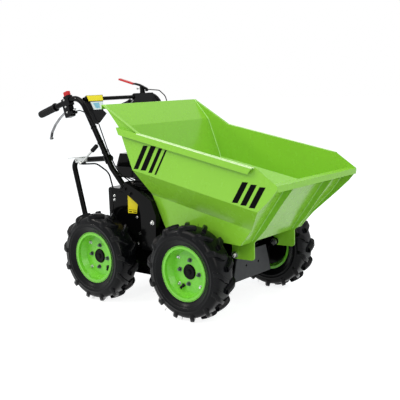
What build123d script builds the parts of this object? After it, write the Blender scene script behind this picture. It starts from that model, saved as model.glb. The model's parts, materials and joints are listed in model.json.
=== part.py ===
"""Walk-behind four-wheel site dumper with a front-tipping skip.

Millimetres. +X is forward, towards the pouring lip, +Y is the machine's left and
+Z is up. The origin is on the ground, midway along the overall length.
"""
import os
from math import asin, atan, cos, degrees, pi, radians, sin, sqrt

from build123d import *

# ---- wheels -----------------------------------------------------------------
wheelbase = 526.0
track_half = 302.0              # centre plane of a tyre from the machine's centre
tyre_radius = 200.0             # over the lugs' corners
tyre_carcass_radius = 184.0
tyre_width = 112.0              # at the sidewalls
shoulder_width = 92.0           # nearly flat part of the carcass
crown_drop = 4.0                # its fall from the middle, on the radius
wall_drop = 28.0                # and at the sidewall
bead_radius = 104.0
side_recess = 17.0              # the sidewall dishes in this far towards the bead
recess_reach = (21.0, 3.0)      # the recess' outer and inner corners, over the rim's edge
bead_seat_width = 13.0
lug_count = 13                  # in each of the two rows
lug_thick = 24.0                # along the tread
lug_sweep = 40.0                # how far the outer end trails the inner one
rim_radius = 115.0
rim_width = 84.0
rim_sheet = 3.0
rim_well_radius = 89.0          # flat middle of the dished disc
hub_radius = 29.0
hub_flange_radius = 60.0
hub_flange_thick = 8.0
hub_cap_radius = 32.0
drum_radius = 86.0              # brake drum behind the rim's disc
drum_depth = 24.0
hub_cap_height = 5.0
axle_stub_radius = 12.5
axle_tube_radius = 21.0
stub_clearance = 0.3
stub_end_gap = 3.0
seat_gap = 0.3                  # between pieces that seat on each other
run_gap = 6.0                   # between a turning piece and a fixed one

# ---- skip -------------------------------------------------------------------
sheet = 3.0
rim_half_width = 303.0          # outer face of the upright upper side
waist_half_width = 232.0        # outer face at the lower fold
floor_taper = 0.085             # lean of the lower side, width per height
rake = degrees(atan(0.2))       # the rim falls this much towards the front
shoulder_drop = 161.0           # rim to upper fold, square to the rim
waist_drop = 262.0              # rim to lower fold, square to the rim
rim_rear = (17.0, 753.0)        # x, z of the side's top edge
rim_front = (597.0, 638.0)
wing_top = (-188.0, 873.0)
wing_fold = (-105.0, 779.0)     # the rear wall leans back more above this
wing_edge = 11.0                # outward edge along a wing
lip_tip = (690.0, 575.0)
floor_front = (460.0, 314.0)
floor_rear = (70.0, 336.0)
rear_fold = (8.0, 486.0)
wall_top = (646.0, 572.0)
cheek_front = ((600.0, 471.0), (656.0, 522.0), (690.0, 562.0))
flange_out = 17.0               # folded rim of a side: outwards, then down
flange_drop = 28.0
flange_ends = ((-158.0, 900.0), (-73.0, 700.0), (520.0, 560.0), (597.0, 645.0))
hem_depth = 16.0                # folded back along the rear wall's top
lip_drop = 20.0
rib_step = 12.0                 # middle of a rib from the chassis' outer face
rib_thick = 5.0
rib_front = ((532.0, 373.0), (604.0, 471.0), (668.0, 552.0))

# ---- tipping hinge ----------------------------------------------------------
pivot = (383.0, 256.0)          # x, z
pivot_radius = 8.0
lug_radius = 18.0
lug_bottom = 240.0
lug_front = 476.0
lug_corner = 15.0
ear_radius = 17.0
bolt_head_radius = 14.0
bolt_head_height = 8.0
pin_clearance = 0.3
pad_size = (60.0, 40.0)
pad_spot = (110.0, 80.0)

# ---- chassis ----------------------------------------------------------------
frame_half_width = 138.0        # outer face of a side plate
plate = 6.0
frame_bottom = 95.0
frame_top = 300.0
frame_rear = -404.0
nose_reach = 88.0               # front axle to the front plate
frame_front = wheelbase / 2 + nose_reach
frame_chin = 60.0               # the plates' lower corners are cut back this far
frame_nose = 20.0               # the deck ends this far behind the front plate
ear_drop = 26.0                 # pivot to the ear's lower corner on the front plate
front_plate_bottom = 126.0
front_plate_top = 246.0
front_plate_top_half = 104.0
hole_spacing = 88.0
hole_radius = 5.5
hole_height = 183.0
gearbox_size = (150.0, 150.0, 130.0)
gearbox_round = 14.0
handle_y = 248.0
tube_radius = 12.5
outrigger_size = (84.0, 52.0)   # along X, along Z
arm_front = ((48.0, 400.0), (23.0, 464.0), (-43.0, 499.0))
arm_rear = ((-111.0, 478.0), (-52.0, 442.0))
arm_heel = 396.0
foot_seat = (-17.0, 26.0)       # the arm's end, either side of the handle's foot
rear_beam_size = 40.0

# ---- engine -----------------------------------------------------------------
engine_x = -275.0
crankcase = (236.0, 220.0, 180.0)
engine_round = 16.0
starter_radius = 92.0
starter_depth = 46.0
starter_bevel = 16.0
vent_count = 12
vent_size = (30.0, 7.0, 5.0)    # out from the middle, across, deep
vent_radius = 58.0
shroud_x = (-196.0, -104.0)
shroud_depth = 150.0
fin_count = 5
fin_size = (8.0, 2.5)           # out of the shroud, thick
shaft_radius = 12.0
muffler_x = (-276.0, -206.0)
muffler_gap = 10.0              # from the belt cover's back
muffler_width = 52.0
muffler_height = 29.0
muffler_bevel = 7.0
filter_size = (100.0, 54.0, 110.0)
filter_spot = (-250.0, 82.0)
filter_round = 16.0
cap_radius = 24.0
cap_top = 660.0
cap_spot = (-200.0, -60.0)
cover_x = (-283.0, -104.0)
cover_z = (240.0, 495.0)
cover_depth = 64.0
cover_slant = (86.0, 55.0)
tank_x = (-302.0, -98.0)        # at the seam
tank_y = (-158.0, 52.0)
tank_z = (537.0, 586.0, 645.0)  # underside, seam, top
tank_leans = (10.0, 17.0)       # of its walls, below and above the seam
tank_round = 34.0

# ---- handlebar, guard and controls ------------------------------------------
handle_path = ((-149.0, 519.0), (-216.0, 592.0), (-402.0, 914.0), (-677.6, 828.4))
handle_bends = (95.0, 75.0)
crossbar_height = 895.0
crossbar_radius = 9.0
guard_path = ((-421.0, 288.0), (-502.0, 612.0), (-243.0, 633.0))
guard_bend = 34.0
collar_radius = 17.0            # round the handle tube at the guard's end
collar_length = 36.0
grip_length = 112.0
grip_radius = 16.5
grip_end = 7.0                  # rubber past the tube's end
grip_collar = (20.0, 6.0)       # radius, length
clip_gap = 0.3                  # between a clamp and its tube
gate_span = (34.0, 116.0)       # along the guard's top bar
gate_low = -10.0                # of its upright leaf, from the bar's middle
gate_width = 44.0
gate_thick = 3.0
gate_slot = (62.0, 11.0)
lever_foot = (-403.0, 608.0)
lever_top = (-324.0, 667.0)
lever_radius = 4.5
lever_boss = 9.0
boss_over = 3.0                 # past the lever's outer side
boss_angle = 25.0               # the shift cable leaves the boss this far below level
knob_length = 42.0
knob_radius = 10.0
knob_bevel = 5.0
panel_outline = (               # from its outer edge inwards, up from the crossbar
    (0.0, 13.0), (102.0, 13.0), (64.0, -68.0), (77.0, -84.0), (16.0, -125.0), (0.0, -119.0))
knee_outline = (                # the left panel, from its outer edge inwards
    (0.0, 13.0), (137.0, 13.0), (137.0, -10.0), (165.0, -30.0), (165.0, -62.0), (16.0, -125.0), (0.0, -119.0))
panel_edge = -222.0
panel_thick = 24.0
housing_reach = 194.0           # throttle housing, from the tube's end
housing_size = (40.0, 88.0, 30.0)   # along the tube, across it, sideways
housing_round = 6.0
housing_top = 15.0
spout_size = (24.0, 13.0)
switch_size = (30.0, 20.0, 16.0)
switch_round = 3.0
switch_seat = 23.0              # above the tube's middle
switch_shift = 15.0             # forward of the housing's middle
squeeze_line = (
    (housing_size[0] / 2 + seat_gap, -43.0), (72.0, -58.0), (117.0, -78.0), (153.0, -103.0),
    (170.0, -126.0))
squeeze_bar = (5.0, 13.0)       # thick, wide
squeeze_end = 6.5
clamp_reach = 205.0             # drive lever clamp, from the tube's end
clamp_size = (26.0, 18.0)       # length, outer radius
lever_pin = (-12.0, 50.0)
pin_radius = 3.0
cheek_thick = 3.0
cheek_radius = 8.0
drive_line = ((-38.0, 26.0), (4.0, 61.0), (30.0, 76.0), (125.0, 135.0))
drive_arm = (10.0, 10.0)        # high, wide
drive_bar = (4.0, 16.0)
drive_eye = 7.0
sleeve_wall = 2.5
cable_radius = 2.6
shift_cable_radius = 3.6
cable_gap = 1.3                 # off the handle tube
cable_end_gap = 1.0
cable_drop = 52.0               # above the foot, where a cable leaves its tube
throttle_height = 795.0         # where it joins its tube
throttle_top = ((-388.0, -266.0, 848.0), (-350.0, -267.0, 838.0))
throttle_low = ((-145.0, -236.0, 556.0), (-150.0, -168.0, 526.0))
throttle_bends = (30.0, 20.0, 30.0)
throttle_low_bends = (16.0, 20.0, 12.0)
switch_height = 670.0
switch_low = ((-158.0, -205.0, 535.0), (-170.0, -165.0, 503.0))
switch_hole_x = -172.0
switch_bend = 60.0
switch_low_bends = (14.0, 16.0, 12.0)
panel_exit = 4.0                # inside the panel's lower corner
drive_height = 690.0
drive_top = ((-368.0, 248.0, 922.0), (-328.0, 248.0, 893.0), (-312.0, 248.0, 840.0))
drive_low = ((-135.0, 205.0, 540.0), (-120.0, 140.0, 470.0))
drive_hole = (-120.0, 120.0)    # x, y in the deck
drive_bends = (30.0, 40.0, 60.0, 60.0)
drive_low_bends = (14.0, 30.0, 30.0)
shift_low = ((-300.0, 610.0), (-248.0, -238.0, 570.0))
shift_hole = (-262.0, -205.0)
shift_bends = (40.0, 40.0)


def sheet_outline(points, thickness):
    """Close an open line of (x, y) points into a band on its left side."""
    line = [Vector(*p) for p in points]
    normals = []
    for start, end in zip(line, line[1:]):
        along = (end - start).normalized()
        normals.append(Vector(-along.Y, along.X))
    inner = [line[0] + normals[0] * thickness]
    for corner, before, after in zip(line[1:], normals, normals[1:]):
        mitre = before + after
        inner.append(corner + mitre * (2 * thickness / mitre.dot(mitre)))
    inner.append(line[-1] + normals[-1] * thickness)
    return [tuple(p)[:2] for p in line + inner[::-1]]


def finish(piece, name):
    piece.label = name
    export_step(piece, f"parts/{name}.step")


def at_y(y):
    """Side view plane: local x is forward, local y is up."""
    return Plane(origin=(0, y, 0), x_dir=(1, 0, 0), z_dir=(0, -1, 0))


def point_on(start, end, height):
    """The point at a height on the side-view line through two points."""
    share = (height - start[1]) / (end[1] - start[1])
    return (start[0] + share * (end[0] - start[0]), height)


os.makedirs("parts", exist_ok=True)
sides = (("left", 1), ("right", -1))
axles = (("front", wheelbase / 2), ("rear", -wheelbase / 2))

# ---- wheels: each turns about its own axle stub ------------------------------
half_tyre = tyre_width / 2
half_shoulder = shoulder_width / 2
half_rim = rim_width / 2
tyre_flats = 2 * lug_count
flat_reach = cos(pi / tyre_flats)       # middle of a flat, per corner radius


def tyre_cone(start, end, mode):
    """A faceted cone on both sides of the tyre, from one (half width, radius) to another."""
    length = end[0] - start[0]
    lean = degrees(atan((start[1] - end[1]) * flat_reach / abs(length)))
    for hand in (1, -1):
        with BuildSketch(Plane(origin=(0, hand * start[0], 0), x_dir=(1, 0, 0), z_dir=(0, hand, 0))) as cut:
            RegularPolygon(start[1], tyre_flats)
        way = (0, hand if length > 0 else -hand, 0)
        extrude(cut.sketch, amount=abs(length), dir=way, taper=lean, mode=mode)


# A lug runs from the middle of the tread, which leads, out over the shoulder.
lug_start = 3.0
lug_reach = (lug_sweep + lug_thick) / 2
lug_top = sqrt(tyre_radius ** 2 - lug_reach ** 2)
lug_root = tyre_carcass_radius - 36
lug_profile = (
    (lug_start, lug_root), (lug_start, lug_top), (half_shoulder - 2, lug_top),
    (half_shoulder + 6, lug_top - 12), (half_tyre, lug_root + 10), (half_shoulder + 2, lug_root))
lug_plan = (
    (lug_reach - lug_thick, lug_start), (lug_reach, lug_start),
    (lug_thick - lug_reach, half_tyre), (-lug_reach, half_tyre))
with BuildPart() as lug:
    with BuildSketch(Plane(origin=(0, 0, lug_top), x_dir=(1, 0, 0), z_dir=(0, 0, 1))):
        Polygon(lug_plan, align=None)
    extrude(amount=lug_root - lug_top)
    with BuildSketch(Plane.YZ):
        Polygon(lug_profile, align=None)
    extrude(amount=2 * lug_reach, both=True, mode=Mode.INTERSECT)

shoulder = (half_shoulder, tyre_carcass_radius - crown_drop)
first_lug = 180 - degrees(asin(lug_reach / tyre_radius))
with BuildPart() as tyre:
    tyre_cone((0, tyre_carcass_radius), shoulder, Mode.ADD)
    tyre_cone(shoulder, (half_tyre, tyre_carcass_radius - wall_drop), Mode.ADD)
    tyre_cone(
        (half_tyre, rim_radius + recess_reach[0]), (half_tyre - side_recess, rim_radius + recess_reach[1]),
        Mode.SUBTRACT)
    with BuildSketch(at_y(half_tyre)):
        RegularPolygon(bead_radius, tyre_flats, major_radius=False)
    extrude(amount=tyre_width, mode=Mode.SUBTRACT)
    for count in range(lug_count):
        turn = first_lug + count * 360 / lug_count
        add(lug.part.rotate(Axis.Y, turn))
        add(mirror(lug.part, about=Plane.XZ).rotate(Axis.Y, turn + 180 / lug_count))

# A split rim: two dished halves, back to back, turned from one sheet line.
bead_seat = bead_radius - seat_gap
rim_line = (
    (0.0, hub_radius + seat_gap), (0.0, rim_well_radius), (half_rim - rim_sheet - bead_seat_width, bead_seat),
    (half_rim - rim_sheet, bead_seat), (half_rim - rim_sheet, rim_radius))
with BuildPart() as rim:
    for hand in (1, -1):
        with BuildSketch(Plane.YZ):
            Polygon([(hand * y, r) for y, r in sheet_outline(rim_line, -rim_sheet)], align=None)
        revolve(axis=Axis.Y)

hub_bore = axle_stub_radius + stub_clearance
flange_back = -rim_sheet - hub_flange_thick
cap_face = rim_sheet + hub_cap_height
with BuildPart() as hub:
    with BuildSketch(Plane.YZ):
        with BuildLine():
            Polyline(
                (-half_rim, hub_bore), (-half_rim, drum_radius), (drum_depth - half_rim, drum_radius),
                (drum_depth - half_rim, hub_radius), (flange_back, hub_radius),
                (flange_back, hub_flange_radius), (-rim_sheet, hub_flange_radius), (-rim_sheet, hub_radius),
                (rim_sheet, hub_radius), (rim_sheet, hub_cap_radius), (cap_face, hub_cap_radius - 3),
                (cap_face, 0), (0, 0), (0, hub_bore), close=True)
        make_face()
    revolve(axis=Axis.Y)

for side_name, side in sides:
    for name, piece in (("tyre", tyre), ("rim", rim), ("hub", hub)):
        turned = piece.part if side > 0 else mirror(piece.part, about=Plane.XZ)
        for axle_name, axle_x in axles:
            finish(Pos(axle_x, side * track_half, tyre_radius) * turned, f"{name}_{axle_name}_{side_name}")

# ---- skip: a middle sheet between two folded sides ----------------------------
slope = Plane(
    origin=(rim_rear[0], 0, rim_rear[1]), x_dir=(0, 1, 0),
    z_dir=(cos(radians(rake)), 0, -sin(radians(rake))))
skip_length = lip_tip[0] - wing_top[0]
above = 260.0                   # the sections run past the rim and are trimmed
below = 460.0
floor_half = waist_half_width - floor_taper * (below - waist_drop)
side_line = (
    (rim_half_width, above), (rim_half_width, -shoulder_drop),
    (waist_half_width, -waist_drop), (floor_half, -below))
flange_line = (
    (rim_half_width, 0), (rim_half_width + flange_out, 0), (rim_half_width + flange_out, -flange_drop))
side_outline = [
    wing_top, wing_fold, rear_fold, floor_rear, floor_front, *cheek_front, lip_tip, rim_front, rim_rear]
lip_fold = (lip_tip[0] - sheet, lip_tip[1] - sheet)
hem_fold = (wing_top[0] - hem_depth, wing_top[1] - sheet)
middle_line = (
    (hem_fold[0], hem_fold[1] - hem_depth), hem_fold, (wing_top[0], hem_fold[1]), wing_fold, rear_fold,
    floor_rear, floor_front, wall_top, lip_fold, (lip_fold[0], lip_fold[1] - lip_drop))


def floor_height(x):
    """Height of the skip floor's underside."""
    fall = (floor_rear[1] - floor_front[1]) / (floor_front[0] - floor_rear[0])
    return floor_rear[1] - fall * (x - floor_rear[0])


def rake_section(points, hand):
    """A section square to the rim; hand mirrors it to the right side."""
    return Polygon([(hand * y, z) for y, z in points], align=None)


def skip_flange(hand):
    with BuildPart() as flange:
        with BuildSketch(slope):
            rake_section(sheet_outline(flange_line, -sheet), hand)
        extrude(amount=skip_length, both=True)
        with BuildSketch(at_y(0)):
            Polygon(flange_ends, align=None)
        extrude(amount=rim_half_width + 2 * flange_out, both=True, mode=Mode.INTERSECT)
    return flange.part


def skip_side(hand):
    """One folded side: the section runs along the rake, trimmed to the side view."""
    with BuildPart() as side_piece:
        with BuildSketch(slope):
            rake_section(sheet_outline(side_line, -sheet), hand)
        extrude(amount=skip_length, both=True)
        with BuildSketch(at_y(0)):
            Polygon(side_outline, align=None)
        extrude(amount=rim_half_width + sheet, both=True, mode=Mode.INTERSECT)
        add(skip_flange(hand))
        with BuildSketch(at_y(hand * (rim_half_width + (wing_edge - sheet) / 2))):
            Polygon(sheet_outline((rim_rear, wing_top), sheet), align=None)
        extrude(amount=(wing_edge + sheet) / 2, both=True)
    return side_piece.part


with BuildPart() as skip_middle:
    with BuildSketch(at_y(0)):
        Polygon(sheet_outline(middle_line, sheet), align=None)
    extrude(amount=rim_half_width, both=True)
    inner = sheet_outline(side_line, -sheet)[len(side_line):]
    with BuildSketch(slope):
        Polygon(inner + [(-y, z) for y, z in inner[::-1]], align=None)
    extrude(amount=skip_length, both=True, mode=Mode.INTERSECT)
finish(skip_middle.part, "skip_middle")

for side_name, side in sides:
    finish(skip_side(side), f"skip_side_{side_name}")

# A stiffener on each side of the front wall, widening into the hinge lug.
rib_y = frame_half_width + rib_step
rib_shoulder = (lug_front, floor_front[1])
lug_round = (lug_front - lug_corner, lug_bottom + lug_corner)
lug_back = pivot[0] - lug_radius
with BuildPart() as skip_ribs:
    for side in (1, -1):
        with BuildSketch(at_y(side * rib_y)):
            Polygon(
                floor_front, wall_top, (lip_fold[0] - 4, lip_fold[1]), *rib_front[::-1], rib_shoulder,
                align=None)
            Polygon(
                floor_front, rib_shoulder, (lug_front, lug_round[1]), (lug_round[0], lug_bottom),
                (pivot[0], pivot[1] - lug_radius), (lug_back, pivot[1]), (lug_back, floor_height(lug_back)),
                align=None)
            with Locations(lug_round):
                Circle(lug_corner)
            with Locations(pivot):
                Circle(lug_radius)
                Circle(pivot_radius + pin_clearance, mode=Mode.SUBTRACT)
        extrude(amount=rib_thick / 2, both=True)
finish(skip_ribs.part, "skip_ribs")

# ---- chassis: side plates with the hinge ears, closed by four plates ----------
inner_half = frame_half_width - plate
lug_inner = rib_y - rib_thick / 2 - pin_clearance
lug_outer = rib_y + rib_thick / 2 + pin_clearance
side_plate_outline = (
    (frame_rear, frame_bottom + frame_chin), (frame_rear + frame_chin, frame_bottom),
    (frame_front - frame_chin, frame_bottom), (frame_front, front_plate_bottom),
    (frame_front, pivot[1] - ear_drop), (pivot[0], pivot[1] - ear_radius), (pivot[0], pivot[1] + ear_radius),
    (frame_front - frame_nose, frame_top), (frame_rear, frame_top))

# The bolt holds the lug between its head and the spacer on the ear.
bolt_line = (
    (inner_half - bolt_head_height, 0), (inner_half - bolt_head_height, bolt_head_radius),
    (inner_half, bolt_head_radius), (inner_half, pivot_radius), (frame_half_width, pivot_radius),
    (frame_half_width, bolt_head_radius), (lug_inner, bolt_head_radius), (lug_inner, pivot_radius),
    (lug_outer, pivot_radius), (lug_outer, bolt_head_radius),
    (lug_outer + bolt_head_height, bolt_head_radius), (lug_outer + bolt_head_height, 0))
with BuildPart() as hinge_bolts:
    for side in (1, -1):
        with BuildSketch(Plane.YZ.offset(pivot[0])):
            Polygon([(side * y, pivot[1] + r) for y, r in bolt_line], align=None)
        revolve(axis=Axis((pivot[0], 0, pivot[1]), (0, 1, 0)))
finish(hinge_bolts.part, "hinge_bolts")

for side_name, side in sides:
    with BuildPart() as side_plate:
        with BuildSketch(at_y(side * (frame_half_width - plate / 2))):
            Polygon(side_plate_outline, align=None)
            with Locations(pivot):
                Circle(ear_radius)
                Circle(pivot_radius + pin_clearance, mode=Mode.SUBTRACT)
            with Locations(*[(axle_x, tyre_radius) for _, axle_x in axles]):
                Circle(axle_tube_radius + seat_gap, mode=Mode.SUBTRACT)
        extrude(amount=plate / 2, both=True)
    finish(side_plate.part, f"frame_side_{side_name}")

# Flat plates between the side plates: name, lowest x and z, highest x and z.
for name, low, high in (
        ("deck_plate", (frame_rear + plate, frame_top - plate), (frame_front - frame_nose, frame_top)),
        (
            "belly_plate", (frame_rear + frame_chin, frame_bottom),
            (frame_front - frame_chin, frame_bottom + plate)),
        ("rear_plate", (frame_rear, frame_bottom + frame_chin), (frame_rear + plate, frame_top))):
    with BuildPart() as flat:
        with Locations(((low[0] + high[0]) / 2, 0, (low[1] + high[1]) / 2)):
            Box(high[0] - low[0], 2 * inner_half, high[1] - low[1])
    finish(flat.part, name)

with BuildPart() as front_plate:
    with BuildSketch(Plane.YZ.offset(frame_front)):
        Polygon(
            (-frame_half_width, front_plate_bottom), (frame_half_width, front_plate_bottom),
            (front_plate_top_half, front_plate_top), (-front_plate_top_half, front_plate_top), align=None)
        with Locations((-hole_spacing / 2, hole_height), (hole_spacing / 2, hole_height)):
            Circle(hole_radius, mode=Mode.SUBTRACT)
    extrude(amount=plate)
finish(front_plate.part, "front_plate")

for axle_name, axle_x in axles:
    with BuildPart() as axle:
        with Locations((axle_x, 0, tyre_radius)):
            Box(*gearbox_size)
        fillet(axle.edges().filter_by(Axis.Y), gearbox_round)
        for radius, reach in (
                (axle_tube_radius, track_half - half_rim - run_gap),
                (axle_stub_radius, track_half - stub_end_gap)):
            with BuildSketch(at_y(0)):
                with Locations((axle_x, tyre_radius)):
                    Circle(radius)
            extrude(amount=reach, both=True)
    finish(axle.part, f"{axle_name}_axle")

near = pad_spot[0] - pad_size[0] / 2
far = pad_spot[0] + pad_size[0] / 2
with BuildPart() as skip_pads:
    for side in (1, -1):
        with BuildSketch(at_y(side * pad_spot[1])):
            Polygon(
                (near, frame_top), (far, frame_top), (far, floor_height(far) - seat_gap),
                (near, floor_height(near) - seat_gap), align=None)
        extrude(amount=pad_size[1] / 2, both=True)
finish(skip_pads.part, "skip_pads")

# ---- uprights that carry the handlebar ----------------------------------------
foot, knee, crown, tip = handle_path
foot_run = Vector(knee[0] - foot[0], knee[1] - foot[1]).normalized()
seat_low, seat_high = (
    tuple(Vector(*foot) + Vector(foot_run.Y, -foot_run.X) * reach)[:2] for reach in foot_seat)
half_beam = outrigger_size[0] / 2
arm_inner = handle_y - tube_radius
upright_outline = (
    (-half_beam, frame_top - outrigger_size[1]), (half_beam, frame_top - outrigger_size[1]),
    (half_beam, frame_top), *arm_front, seat_high, seat_low, *arm_rear,
    (-half_beam, arm_heel))
for side_name, side in sides:
    with BuildPart() as upright:
        with BuildSketch(at_y(side * handle_y)):
            Polygon(upright_outline, align=None)
        extrude(amount=tube_radius, both=True)
        with Locations((0, side * (frame_half_width + arm_inner) / 2, frame_top - outrigger_size[1] / 2)):
            Box(outrigger_size[0], arm_inner - frame_half_width, outrigger_size[1])
    finish(upright.part, f"upright_{side_name}")

guard_y = handle_y - 2 * tube_radius - seat_gap
with BuildPart() as rear_beam:
    with Locations((frame_rear - rear_beam_size / 2, 0, frame_top - rear_beam_size / 2)):
        Box(rear_beam_size, 2 * (guard_y + tube_radius), rear_beam_size)
finish(rear_beam.part, "rear_beam")

# ---- engine and drive ----------------------------------------------------------
engine_top = frame_top + crankcase[2]
shroud_middle = (sum(shroud_x) / 2, sum(tank_y) / 2, (engine_top + tank_z[0]) / 2)
fin_step = (tank_z[0] - engine_top) / fin_count
fin_heights = [engine_top + (count + 0.5) * fin_step for count in range(fin_count)]
with BuildPart() as engine_block:
    with Locations((engine_x, 0, frame_top + crankcase[2] / 2)):
        Box(*crankcase)
    fillet(engine_block.edges().filter_by(Axis.Y), engine_round)
    with Locations(shroud_middle):
        Box(shroud_x[1] - shroud_x[0], shroud_depth, tank_z[0] - engine_top)
    with Locations(*[
            (shroud_middle[0], shroud_middle[1], height) for height in fin_heights]):
        Box(shroud_x[1] - shroud_x[0] + 2 * fin_size[0], shroud_depth + 2 * fin_size[0], fin_size[1])
    with BuildSketch(at_y(-crankcase[1] / 2)):
        with Locations((engine_x + 20, frame_top + crankcase[2] / 2)):
            Circle(shaft_radius)
    extrude(amount=frame_half_width - crankcase[1] / 2)
finish(engine_block.part, "engine_block")

with BuildPart() as muffler:
    with Locations((
            sum(muffler_x) / 2, muffler_gap + muffler_width / 2 - frame_half_width,
            engine_top + muffler_height / 2)):
        Box(muffler_x[1] - muffler_x[0], muffler_width, muffler_height)
    chamfer(muffler.edges().filter_by(Axis.Y), muffler_bevel)
finish(muffler.part, "muffler")

with BuildPart() as air_filter:
    with Locations((filter_spot[0], filter_spot[1], engine_top + filter_size[2] / 2)):
        Box(*filter_size)
    fillet(air_filter.edges().filter_by(Axis.Y), filter_round)
finish(air_filter.part, "air_filter")

# The starter's cap is open where its fan draws air in.
starter_spot = (engine_x, frame_top + crankcase[2] / 2 + 6)
with BuildPart() as recoil_starter:
    with BuildSketch(at_y(crankcase[1] / 2)):
        with Locations(starter_spot):
            Circle(starter_radius)
    extrude(amount=-starter_depth)
    chamfer(recoil_starter.faces().sort_by(Axis.Y)[-1].edges(), starter_bevel)
    with BuildSketch(at_y(crankcase[1] / 2 + starter_depth)):
        with Locations(starter_spot):
            with PolarLocations(vent_radius, vent_count):
                Rectangle(vent_size[0], vent_size[1])
    extrude(amount=vent_size[2], mode=Mode.SUBTRACT)
finish(recoil_starter.part, "recoil_starter")

with BuildPart() as belt_cover:
    with BuildSketch(at_y(-frame_half_width)):
        Polygon(
            (cover_x[0], cover_z[0]), (cover_x[1], cover_z[0]), (cover_x[1], cover_z[1] - cover_slant[1]),
            (cover_x[1] - cover_slant[0], cover_z[1]), (cover_x[0], cover_z[1]), align=None)
    extrude(amount=cover_depth)
finish(belt_cover.part, "belt_cover")

with BuildPart() as fuel_tank:
    for direction, height, lean in (
            (-1, tank_z[1] - tank_z[0], tank_leans[0]), (1, tank_z[2] - tank_z[1], tank_leans[1])):
        with BuildSketch(Plane.XY.offset(tank_z[1])):
            with Locations((sum(tank_x) / 2, sum(tank_y) / 2)):
                RectangleRounded(tank_x[1] - tank_x[0], tank_y[1] - tank_y[0], tank_round)
        extrude(amount=height, dir=(0, 0, direction), taper=lean)
    with BuildSketch(Plane.XY.offset(tank_z[2])):
        with Locations(cap_spot):
            Circle(cap_radius)
    extrude(amount=cap_top - tank_z[2])
finish(fuel_tank.part, "fuel_tank")

# ---- handlebar: two bent tubes joined by a crossbar ------------------------------
grip_run = Vector(tip[0] - crown[0], tip[1] - crown[1]).normalized()


def along_handle(side, reach):
    """Plane on a grip run, reach from the tube's end: local x to the rear, local y up."""
    return Plane(
        origin=(tip[0] - grip_run.X * reach, side * handle_y, tip[1] - grip_run.Y * reach),
        x_dir=(grip_run.X, 0, grip_run.Y), z_dir=(0, 1, 0))


tube_foot = tuple(Vector(*foot) + foot_run * seat_gap)[:2]
for side_name, side in sides:
    handle_plane = at_y(side * handle_y)
    with BuildPart() as handle:
        with BuildLine(handle_plane) as route:
            FilletPolyline(tube_foot, knee, crown, tip, radius=list(handle_bends))
        with BuildSketch(Plane(origin=route.line @ 0, z_dir=route.line % 0)):
            Circle(tube_radius)
        sweep()
    finish(handle.part, f"handle_{side_name}")

    grip_plane = Plane(
        origin=handle_plane.from_local_coords(Vector(*tip)), x_dir=(0, 1, 0),
        z_dir=(-grip_run.X, 0, -grip_run.Y))
    with BuildPart() as grip:
        with BuildSketch(grip_plane.offset(-grip_end)):
            Circle(grip_radius)
        extrude(amount=grip_length + grip_end)
        with BuildSketch(grip_plane.offset(grip_length - grip_collar[1])):
            Circle(grip_collar[0])
        extrude(amount=grip_collar[1])
        with BuildSketch(grip_plane):
            Circle(tube_radius + seat_gap)
        extrude(amount=grip_length, mode=Mode.SUBTRACT)
    finish(grip.part, f"grip_{side_name}")

crossbar_spot = point_on(knee, crown, crossbar_height)
with BuildPart() as crossbar:
    with BuildSketch(at_y(0)):
        with Locations(crossbar_spot):
            Circle(crossbar_radius)
    extrude(amount=handle_y - tube_radius - seat_gap, both=True)
finish(crossbar.part, "crossbar")

# ---- rear guard tubes and the gear shift gate -------------------------------------
# A saddle on the guard's front end seats on the rear of the handle tube.
_, bar_rear, bar_front = guard_path
tube_run = Vector(crown[0] - knee[0], crown[1] - knee[1]).normalized()
collar_middle = Vector(*point_on(knee, crown, bar_front[1]))
for side_name, side in sides:
    collar_plane = Plane(
        origin=(collar_middle.X, side * handle_y, collar_middle.Y), x_dir=(0, 1, 0),
        z_dir=(tube_run.X, 0, tube_run.Y))
    ahead = collar_plane.origin + Vector(tube_run.Y, 0, -tube_run.X) * collar_radius
    with BuildPart() as guard:
        with BuildLine(at_y(side * guard_y)) as route:
            FilletPolyline(*guard_path, radius=guard_bend)
        with BuildSketch(Plane(origin=route.line @ 0, z_dir=route.line % 0)):
            Circle(tube_radius)
        sweep()
        split(bisect_by=Plane.XY.offset(frame_top), keep=Keep.TOP)
        with BuildSketch(collar_plane):
            Circle(collar_radius)
            with Locations(collar_plane.to_local_coords(ahead)):
                Rectangle(2 * collar_radius, 2 * collar_radius, mode=Mode.SUBTRACT)
        extrude(amount=collar_length / 2, both=True)
        with BuildSketch(collar_plane):
            Circle(tube_radius + clip_gap)
        extrude(amount=collar_length, both=True, mode=Mode.SUBTRACT)
    finish(guard.part, f"guard_{side_name}")

bar_run = Vector(bar_front[0] - bar_rear[0], bar_front[1] - bar_rear[1]).normalized()


def on_bar(y, lift=0.0):
    """Plane in the guard's top bar: local x forward along the bar, local y up."""
    return Plane(
        origin=(bar_rear[0] - bar_run.Y * lift, y, bar_rear[1] + bar_run.X * lift),
        x_dir=(bar_run.X, 0, bar_run.Y), z_dir=(0, -1, 0))


# The gate is an angle plate on the right bar's outer side, slotted on top.
leaf_inner = guard_y + tube_radius + clip_gap
leaf_outer = leaf_inner + gate_thick
gate_top = tube_radius + gate_thick
lever_y = leaf_outer + gate_width / 2
with BuildPart() as shift_bracket:
    with BuildSketch(on_bar(-(leaf_inner + leaf_outer) / 2)):
        Polygon(
            (gate_span[0], gate_low), (gate_span[1], gate_low), (gate_span[1], tube_radius),
            (gate_span[0], tube_radius), align=None)
    extrude(amount=gate_thick / 2, both=True)
finish(shift_bracket.part, "shift_bracket")

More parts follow.
